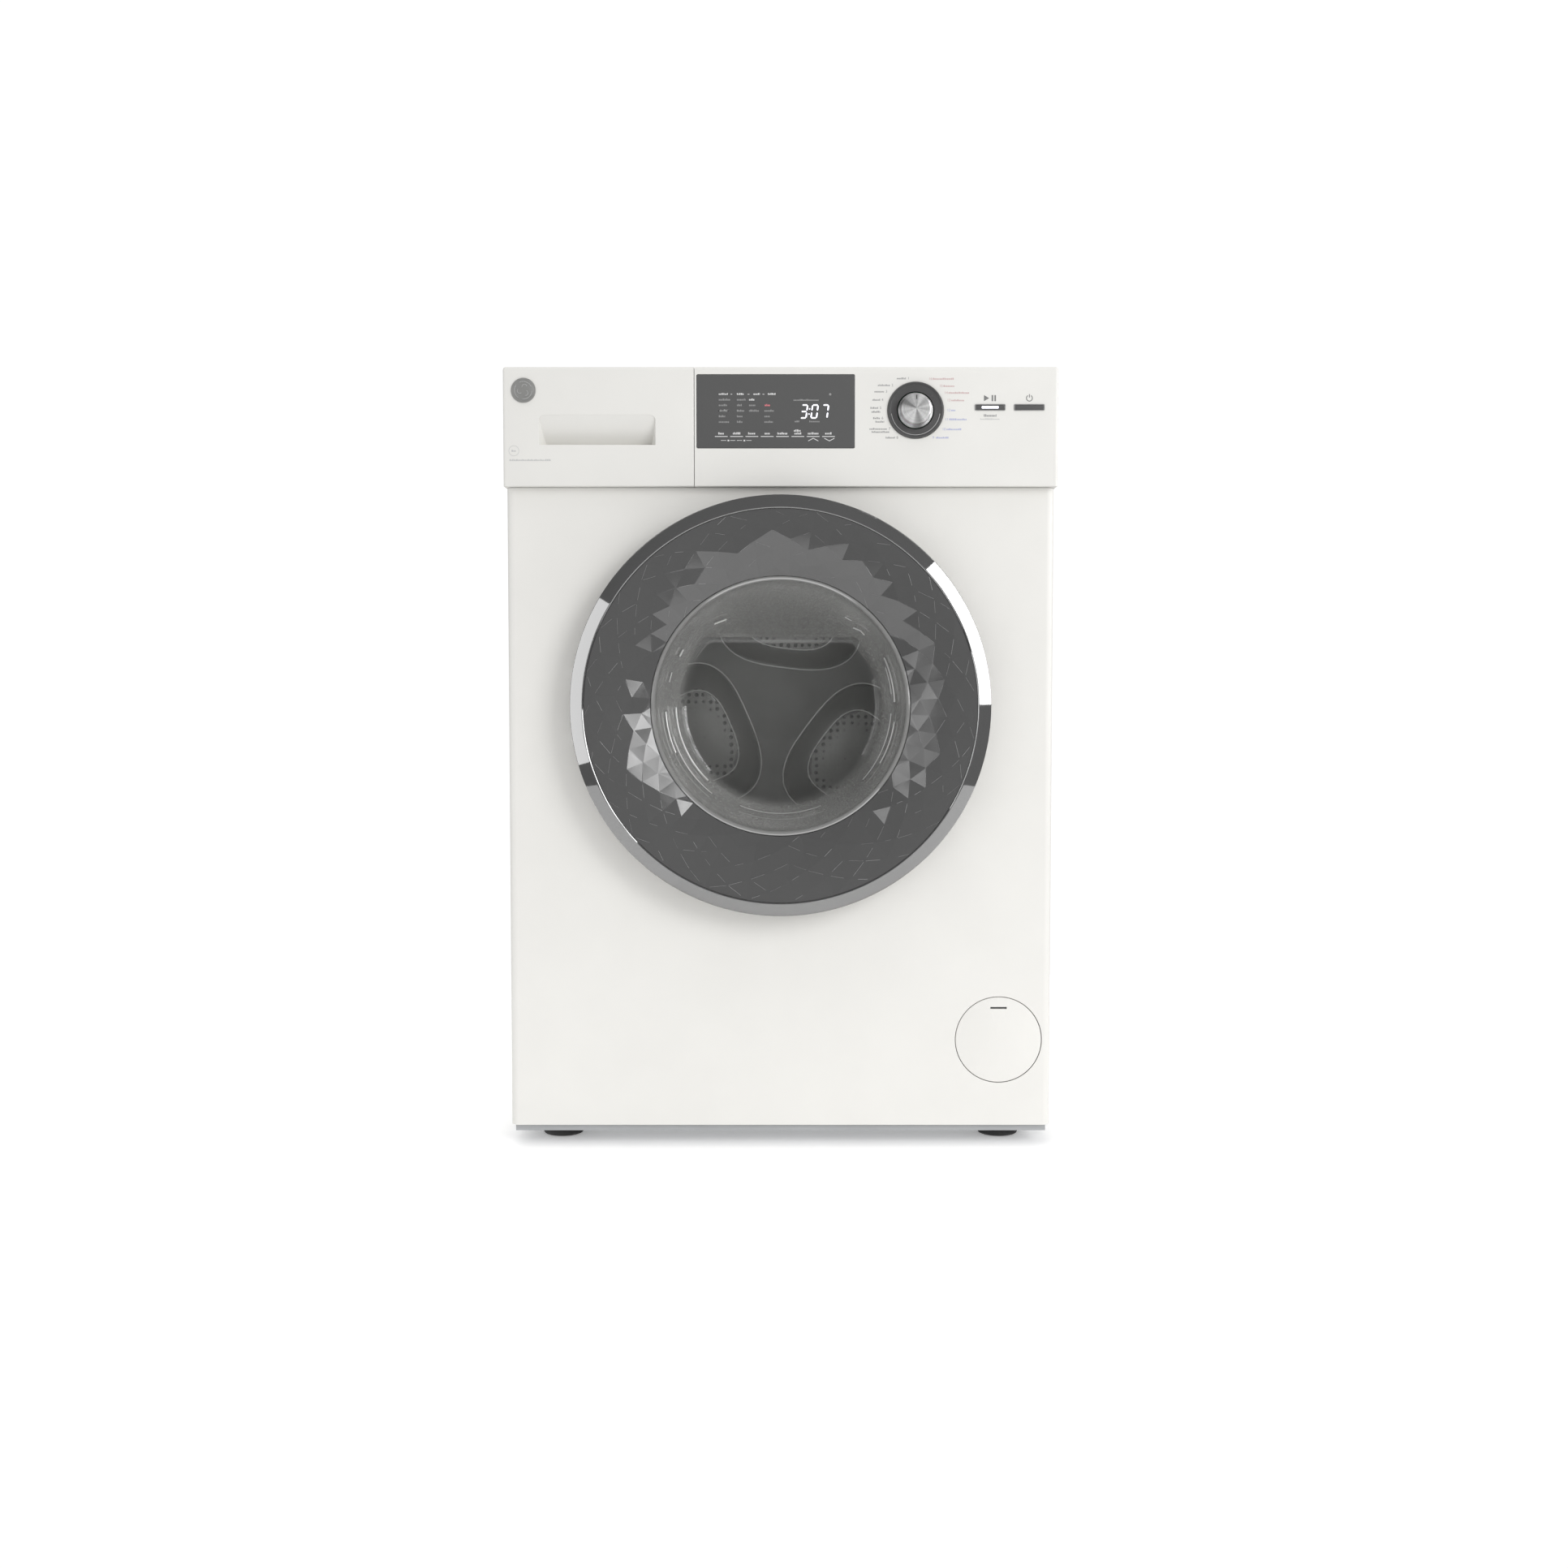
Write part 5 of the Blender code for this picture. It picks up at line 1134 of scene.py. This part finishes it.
def build_bowl():
    """Glass bowl lofted from a round rim to a bottom with a flat top edge."""
    steps = 144
    outer = [(0.1385, -0.2850, 0.0), (0.1362, -0.2700, 0.05), (0.1332, -0.2500, 0.16),
             (0.1302, -0.2280, 0.34),
             (0.1272, -0.2080, 0.56), (0.1245, -0.1930, 0.80), (0.1222, -0.1840, 0.90),
             (0.1195, -0.1770, 0.96),
             (0.1160, -0.1715, 1.0), (0.1110, -0.1680, 1.0), (0.1060, -0.1668, 1.0)]
    thickness = 0.0045
    bm = bmesh.new()

    def ring(radius, y, share):
        made = []
        for step in range(steps):
            angle = 2 * math.pi * step / steps
            reach = radius * (1 + (bowl_cut(angle) - 1) * share)
            made.append(bm.verts.new((reach * math.cos(angle), y, reach * math.sin(angle))))
        return made

    lip = -0.2915
    profile = [(0.1560, lip, 0.0), (0.1560, lip + 0.0045, 0.0), (0.1460, lip + 0.0045, 0.0)] + outer
    rings = [ring(*entry) for entry in profile]
    rings.append([bm.verts.new((0, -0.1652, 0))])
    inner = [(radius - thickness, y - 0.0015, share) for radius, y, share in reversed(outer)]
    inner[0] = (0.1030, -0.1702, 1.0)
    inner[1] = (0.1070, -0.1712, 1.0)
    front_rings = [[bm.verts.new((0, -0.1697, 0))]] + [ring(*entry) for entry in inner[:-1]]
    front_rings += [ring(0.1350, lip + 0.0012, 0.0), ring(0.1380, lip, 0.0), rings[0]]
    skin(bm, rings)
    skin(bm, front_rings)
    bowl = linked("glass_bowl", to_mesh(bm, "glass_bowl"), AXIS)
    wear(bowl, "door", DOOR_GLASS, ["door_glass"], angle=60)

    # Pale thin wires on the glass wall where the bowl mirrors the studio lamps: painted highlights, not
    # moulded ridges.
    painted_glass_glints = []
    spans = ((2, 25, 0.10, 0.0011), (6, 20, 0.30, 0.0007), (40, 47, 0.45, 0.0009), (50, 54, 0.20, 0.0006),
             (122, 129, 0.40, 0.0010), (150, 154, 0.25, 0.0012), (163, 168, 0.15, 0.0007),
             (181, 226, 0.80, 0.0012),
             (183, 204, 0.05, 0.0009), (196, 232, 0.30, 0.0005), (318, 356, 0.35, 0.0006),
             (330, 352, 0.05, 0.0008),
             (248, 292, 0.55, 0.0004))
    for start, end, share, radius in spans:
        loop = []
        for step in range(17):
            angle = math.radians(start + (end - start) * step / 16)
            reach = (0.1270 - 0.0115 * share) * (1 + (bowl_cut(angle) - 1) * share)
            loop.append((reach * math.cos(angle), -0.2520 + 0.0620 * share,
                         reach * math.sin(angle) + AXIS_Z))
        painted_glass_glints.append(wire("glass_glint", loop, radius, 2))
    wear(join("glass_wall_painted_glints", painted_glass_glints), "door", PALE_BEAD_HIGHLIGHT, angle=60)

    rim = [(0.1398, -0.2936), (0.1392, -0.2948), (0.1378, -0.2952), (0.1362, -0.2946), (0.1352, -0.2930),
           (0.1350, -0.2917), (0.1396, -0.2917)]
    wear(lathe("glass_rim_ring", rim, AXIS, 160), "door", RIM_GLASS)


def hinge_cutters(target, with_front=True):
    """Room in the door for the fixed hinge lugs through the whole swing."""
    carve(target, block("cut", (HINGE.x - 0.0042, -0.2973, AXIS_Z - 0.0320),
                        (-0.1675, DOOR_BACK_Y + 0.01, AXIS_Z + 0.0320)))
    if with_front:
        carve(target, rod("cut", 0.0047, HINGE - Vector((0, 0, 0.046)), HINGE + Vector((0, 0, 0.046)), 32))
    sweep = arc((HINGE.x, HINGE.y), 0.0205, 55, 255, 28) + arc((HINGE.x, HINGE.y), 0.0046, 285, 385, 8)
    for side in (-1, 1):
        middle = AXIS_Z + side * LUG_Z
        carve(target, flat("cut", [sweep], middle - 0.0048, middle + 0.0048, axis="Z"))
        if with_front:
            carve(target, block("cut", (HINGE.x - 0.0051, HINGE.y + 0.0007, middle - 0.0051),
                                (HINGE.x + 0.0051, DOOR_BACK_Y + 0.0107, middle + 0.0051)))


def build_door():
    shoulder = DOOR_FACE_Y + 0.0117
    profile = [(FACE_R - 0.0015, DOOR_FACE_Y + 0.0010), (FACE_R - 0.0011, DOOR_FACE_Y + 0.0004),
               (FACE_R - 0.0004, DOOR_FACE_Y), (FACE_R + 0.0002, DOOR_FACE_Y + 0.0001)]
    for step in range(9):
        share = step / 8
        radius = FACE_R + 0.0006 + (DOOR_R - 0.0008 - FACE_R - 0.0006) * share
        crown = 0.00025 * math.sin(math.pi * share)
        profile.append((radius, DOOR_FACE_Y + 0.0004 + (shoulder - 0.0009 - DOOR_FACE_Y) * share - crown))
    profile += [(DOOR_R - 0.0002, shoulder + 0.0002), (DOOR_R, shoulder + 0.0012),
                (DOOR_R, DOOR_FACE_Y + 0.0300),
                (0.2215, DOOR_BACK_Y - 0.0080), (0.2150, DOOR_BACK_Y), (FACE_R - 0.0015, DOOR_BACK_Y)]
    trim = lathe("door_trim", profile, AXIS, 192)
    hinge_cutters(trim)
    wear(trim, "door", TRIM, ["door_trim_ring"], angle=28)
    build_dish()
    build_bowl()

    back = [(0.1450, -0.2862), (0.2086, -0.2862), (0.2090, -0.2858), (0.2090, DOOR_BACK_Y - 0.0008),
            (0.2082, DOOR_BACK_Y), (0.1900, DOOR_BACK_Y), (0.1890, DOOR_BACK_Y - 0.0012),
            (0.1700, DOOR_BACK_Y - 0.0012), (0.1690, DOOR_BACK_Y), (0.1485, DOOR_BACK_Y),
            (0.1468, DOOR_BACK_Y - 0.0010), (0.1450, DOOR_BACK_Y - 0.0035)]
    ring = lathe("door_back_ring", back, AXIS, 144)
    hinge_cutters(ring, with_front=False)
    wear(ring, "door", INNER_WHITE, ["door_back_frame"], angle=40)
    heads = []
    cap = [(0, DOOR_BACK_Y - 0.0003), (0.0034, DOOR_BACK_Y - 0.0003), (0.0034, DOOR_BACK_Y - 0.0001),
           (0, DOOR_BACK_Y + 0.0004)]
    for degrees in (18, 54, 90, 126, 234, 270, 306, 342):
        angle = math.radians(degrees)
        spot = (0.1985 * math.cos(angle), 0, AXIS_Z + 0.1985 * math.sin(angle))
        heads.append(lathe("head", cap, spot, 20))
    wear(join("door_back_screws", heads), "door", ZINC)


def build_gasket():
    y = PANEL_Y
    profile = [(0.1590, y - 0.0009), (0.1590, y + 0.0023), (0.1678, y + 0.0023), (0.1680, y + 0.0040),
               (0.1680, -0.2330), (0.1668, -0.2295), (0.1620, -0.2250), (0.1600, -0.2222), (0.1620, -0.2196),
               (0.1680, -0.2175), (0.1695, -0.2160), (0.1698, -0.2145), (0.1698, -0.2123), (0.1612, -0.2120),
               (0.1610, -0.2062), (0.1562, -0.2060), (0.1560, -0.2140), (0.1560, -0.2230), (0.1585, -0.2270),
               (0.1630, -0.2310), (0.1642, -0.2345), (0.1640, -0.2600), (0.1600, -0.2602), (0.1500, -0.2562),
               (0.1450, -0.2552), (0.1418, -0.2566), (0.1414, -0.2590), (0.1428, -0.2622), (0.1462, -0.2680),
               (0.1490, -0.2735), (0.1515, y - 0.0009)]
    wear(lathe("bellows_gasket", profile, AXIS, 144), "cabinet", RUBBER, ["door_gasket"],
         angle=50)


# Drum ------------------------------------------------------------------------------------------------------

def build_drum():
    low, high = CAD["drum_shell"]
    radius = (high.x - low.x) / 2
    rim, back_y = low.y, 0.1500
    shell = [(0.1660, rim + 0.0010), (0.1664, rim), (0.1678, rim), (0.1684, rim + 0.0012), (0.1684, -0.1890),
             (0.2260, -0.1855), (0.2350, -0.1810), (0.2385, -0.1760), (radius, -0.1700)]
    for rib in range(9):
        y = -0.150 + rib * 0.033
        shell += [(radius, y), (radius - 0.0016, y + 0.004), (radius, y + 0.008)]
    shell += [(radius, 0.1560), (0.2360, 0.1560), (0.2350, back_y + 0.0050), (0.2350, back_y - 0.002)]
    inner = [(r - 0.0022, y) for r, y in reversed(shell[8:-4])]
    shell = shell[:-1] + [(0.2352, back_y + 0.0010)] + inner + [(0.2362, -0.1745), (0.2330, -0.1790),
                                                             (0.2250, -0.1830), (0.1660, -0.1862)]
    wear(lathe("drum_wall", shell, AXIS, 144), "drum", DRUM_STEEL, ["drum_shell"], angle=40)

    disc = [(0, back_y - 0.0030), (0.030, back_y - 0.0030), (0.040, back_y - 0.0005), (0.052, back_y),
            (0.190, back_y),
            (0.205, back_y - 0.0040), (0.2340, back_y - 0.0050), (0.2340, back_y + 0.0010),
            (0, back_y + 0.0012)]
    wear(lathe("drum_back_wall", disc, AXIS, 144), "drum", BACK_STEEL, ["drum_shell"], angle=40)

    for index in range(3):
        angle = math.radians(90 + 120 * index)
        build_lobe(index, angle - math.radians(7), back_y)
        build_baffle(index, angle)


def build_lobe(index, angle, back_y):
    """A pressed lobe on the drum's back wall with a perforated almond in its middle."""
    centre_r, long_half, short_half, height = 0.1120, 0.1060, 0.0740, 0.0420
    outward = Vector((math.cos(angle), 0, math.sin(angle)))
    across = Vector((-math.sin(angle), 0, math.cos(angle)))
    rings, around = 14, 72

    def outline(share):
        """Points round the lobe at a share of its size, and how high it stands there."""
        points = []
        for step in range(around):
            turn = 2 * math.pi * step / around
            lens = 1 - 0.10 * math.cos(2 * turn) ** 2
            spot = across * math.cos(turn) * long_half * share * lens
            points.append(spot + outward * (centre_r + math.sin(turn) * short_half * share * lens))
        return points, height * (1 - share ** 2.6) ** 0.9

    bm = bmesh.new()
    rows = []
    for ring in range(rings + 1):
        points, rise = outline(ring / rings)
        dent = 0.0060 * max(0.0, 1 - (ring / rings / 0.62) ** 8)
        rows.append([bm.verts.new((spot.x, back_y - rise + dent, spot.z))
                     for spot in points[:around if ring else 1]])
    skin(bm, rows)
    for face in bm.faces:
        middle = face.calc_center_median() - outward * centre_r
        reach = Vector((middle.dot(across) / long_half, middle.dot(outward) / short_half))
        face.material_index = 1 if reach.length < 0.60 else 0
    lobe = linked(f"drum_back_lobe_{index + 1}", to_mesh(bm, "lobe"), AXIS)
    lobe.data.materials.append(LOBE_STEEL)
    lobe.data.materials.append(LOBE_SIEVE)
    thicken(lobe, 0.0012)
    wear(lobe, "drum", LOBE_STEEL, angle=60)
    # Raised beads round each lobe and its almond, coloured pale as a painted highlight along the lobe edges.
    for label, share, thickness in (("edge", 0.99, 0.0010), ("inner", 0.62, 0.0008)):
        points, rise = outline(share)
        loop = [(spot.x, back_y - rise - thickness * 0.6, spot.z + AXIS_Z) for spot in points]
        wear(wire(f"lobe_bead_{label}_{index + 1}", loop, thickness, 2, True), "drum", PALE_BEAD_HIGHLIGHT)


def build_baffle(index, angle):
    """A lifter along the drum wall, with a crowned back and tapered ends."""
    outward = Vector((math.cos(angle), 0, math.sin(angle)))
    across = Vector((-math.sin(angle), 0, math.cos(angle)))
    base = 0.2325
    bm = bmesh.new()
    rows = []
    lengths = 20
    for row in range(lengths + 1):
        share = row / lengths
        y = -0.165 + 0.305 * share
        swell = max(0.02, math.sin(math.pi * share) ** 0.45)
        made = []
        for step in range(13):
            turn = math.pi * step / 12
            side = 0.036 * math.cos(turn) * (0.75 + 0.25 * swell)
            rise = 0.038 * math.sin(turn) ** 0.8 * swell
            spot = outward * (base - rise) + across * side
            made.append(bm.verts.new((spot.x, y, spot.z)))
        rows.append(made)
    skin(bm, rows, closed=False)
    bm.faces.new(rows[0])
    bm.faces.new(rows[-1][::-1])
    for first, second in zip(rows, rows[1:]):
        bm.faces.new((first[0], second[0], second[-1], first[-1]))
    lifter = linked(f"lifter_{index + 1}", to_mesh(bm, "lifter"), AXIS)
    wear(lifter, "drum", LOBE_STEEL, [f"baffle_{index + 1}"], angle=50)


# Carried-over CAD nodes ------------------------------------------------------------------------------------

def dress_frame():
    """Finishes for the CAD nodes that stay, by their material slot."""
    finishes = {
        "white_enamel": ENAMEL, "white_plastic": INNER_WHITE, "dark_gloss": SCREEN, "dark_plastic": DARK,
        "grey_plastic": GREY, "blue_plastic": BLUE, "clear_glass": DOOR_GLASS, "stainless": STEEL,
        "brushed_metal": CAP_METAL, "zinc_steel": ZINC, "cast_metal": CAST, "grey_rubber": RUBBER,
        "black_rubber": BLACK_RUBBER, "concrete": STONE, "circuit_board": BOARD,
    }
    slots = {row["node"]: row["material_slot"] for row in frame["record"]["subparts"]}
    for name, node in frame["nodes"].items():
        if node.hide_render:
            continue
        node.data.materials.clear()
        node.data.materials.append(finishes[slots[name]])


# Stage -----------------------------------------------------------------------------------------------------

def build_stage():
    bm = bmesh.new()
    bmesh.ops.create_circle(bm, cap_ends=True, segments=96, radius=1.15)
    floor = linked("studio_floor", to_mesh(bm, "studio_floor"), (0, -0.12, -0.0002))
    made, tree, shader = new_material("studio_floor")
    set_inputs(tree, shader, {
        "Base Color": mix_colours(tree, spread(tree, noise(tree, 3.0), 0, 1), (0.93,) * 3, (0.95,) * 3),
        "Roughness": 0.9,
        "Specular IOR Level": 0.0,
        "Emission Color": WHITE,
        "Emission Strength": 0.24,
    })
    floor.data.materials.append(made)

    world = bpy.data.worlds.new("studio")
    bpy.context.scene.world = world
    world.use_nodes = True
    tree = world.node_tree
    tree.nodes.clear()
    out = add_node(tree, "OutputWorld")
    rays = add_node(tree, "LightPath").outputs
    soft, mirrored, seen = [add_node(tree, "Background", {"Color": WHITE, "Strength": strength}).outputs[0]
                            for strength in (WORLD_STRENGTH, 0.03, 1.05)]
    unseen = add_node(tree, "MixShader", {0: rays["Is Glossy Ray"], 1: soft, 2: mirrored}).outputs[0]
    both = add_node(tree, "MixShader", {0: rays["Is Camera Ray"], 1: unseen, 2: seen}).outputs[0]
    tree.links.new(both, out.inputs["Surface"])

    card("right_card", 1.60, (-2.30, 0.0), (AXIS_Z, AXIS_Z + 1.48), RIGHT_CARD)
    card("left_card", -1.60, (-2.30, 0.0), (AXIS_Z - 0.48, AXIS_Z + 0.94), LEFT_CARD)
    lamp("key_light", (2.2, -3.0, 1.8), 1.6, KEY_POWER, AXIS)
    lamp("top_light", (0.0, -0.4, 3.0), 2.4, TOP_POWER, Vector((0, 0, 0)))
    lamp("rear_light", (-0.8, 3.0, 2.2), 1.8, REAR_POWER, AXIS)
    drum = lamp("drum_light", (-0.02, -0.10, AXIS_Z + 0.03), 0.05, DRUM_POWER, Vector((0, 1, AXIS_Z)))
    drum.data.shape = "DISK"
    drum.visible_glossy = True


def card(name, x, y_span, z_span, radiance):
    """A glowing upright card that only glossy faces mirror: even at the back, clouded towards the front."""
    bm = bmesh.new()
    corners = [(x, y, z) for y, z in zip((y_span[0], y_span[1], y_span[1], y_span[0]), sorted(z_span * 2))]
    bm.faces.new([bm.verts.new(corner) for corner in corners])
    obj = linked(name, to_mesh(bm, name))
    made, tree, out = bare_material(name)
    depth = add_node(tree, "SeparateXYZ", {0: own_place(tree)}).outputs["Y"]
    forward = spread(tree, depth, 0.0, 1.0, -0.75, -0.90)
    clouds = spread(tree, noise(tree, 3.2, 1.5), 0.12 * radiance, radiance, 0.38, 0.60)
    strength = add_node(tree, "Mix", {0: forward, 2: radiance, 3: clouds}, data_type="FLOAT").outputs[0]
    glow = add_node(tree, "Emission", {"Strength": strength})
    tree.links.new(glow.outputs[0], out.inputs["Surface"])
    obj.data.materials.append(made)
    for ray in ("camera", "diffuse", "transmission", "volume_scatter", "shadow"):
        setattr(obj, "visible_" + ray, False)


def lamp(name, location, size, power, target):
    """A soft light that lights matt surfaces and leaves no mirror image."""
    data = bpy.data.lights.new(name, "AREA")
    data.size = size
    data.energy = power
    obj = bpy.data.objects.new(name, data)
    obj.location = location
    obj.rotation_euler = (Vector(target) - obj.location).to_track_quat("-Z", "Y").to_euler()
    obj.visible_camera = False
    obj.visible_glossy = False
    bpy.context.scene.collection.objects.link(obj)
    return obj


def build_camera():
    data = bpy.data.cameras.new("camera")
    data.sensor_width = 36.0
    data.lens = 42.67
    data.shift_x = 0.0022
    data.clip_start = 0.05
    obj = bpy.data.objects.new("camera", data)
    tilt_down = math.radians(3.05)
    obj.location = (0, CONSOLE_Y - 2.008, 0.505)
    obj.rotation_euler = (math.pi / 2 - tilt_down, 0, 0)
    bpy.context.scene.collection.objects.link(obj)
    bpy.context.scene.camera = obj
    bpy.context.scene.view_settings.view_transform = "Standard"
    bpy.context.scene.view_settings.look = "None"


build_front_panel()
build_top_and_back()
build_connections()
build_fascia()
build_drawer()
build_door()
build_gasket()
build_drum()
dress_frame()
build_stage()
build_camera()
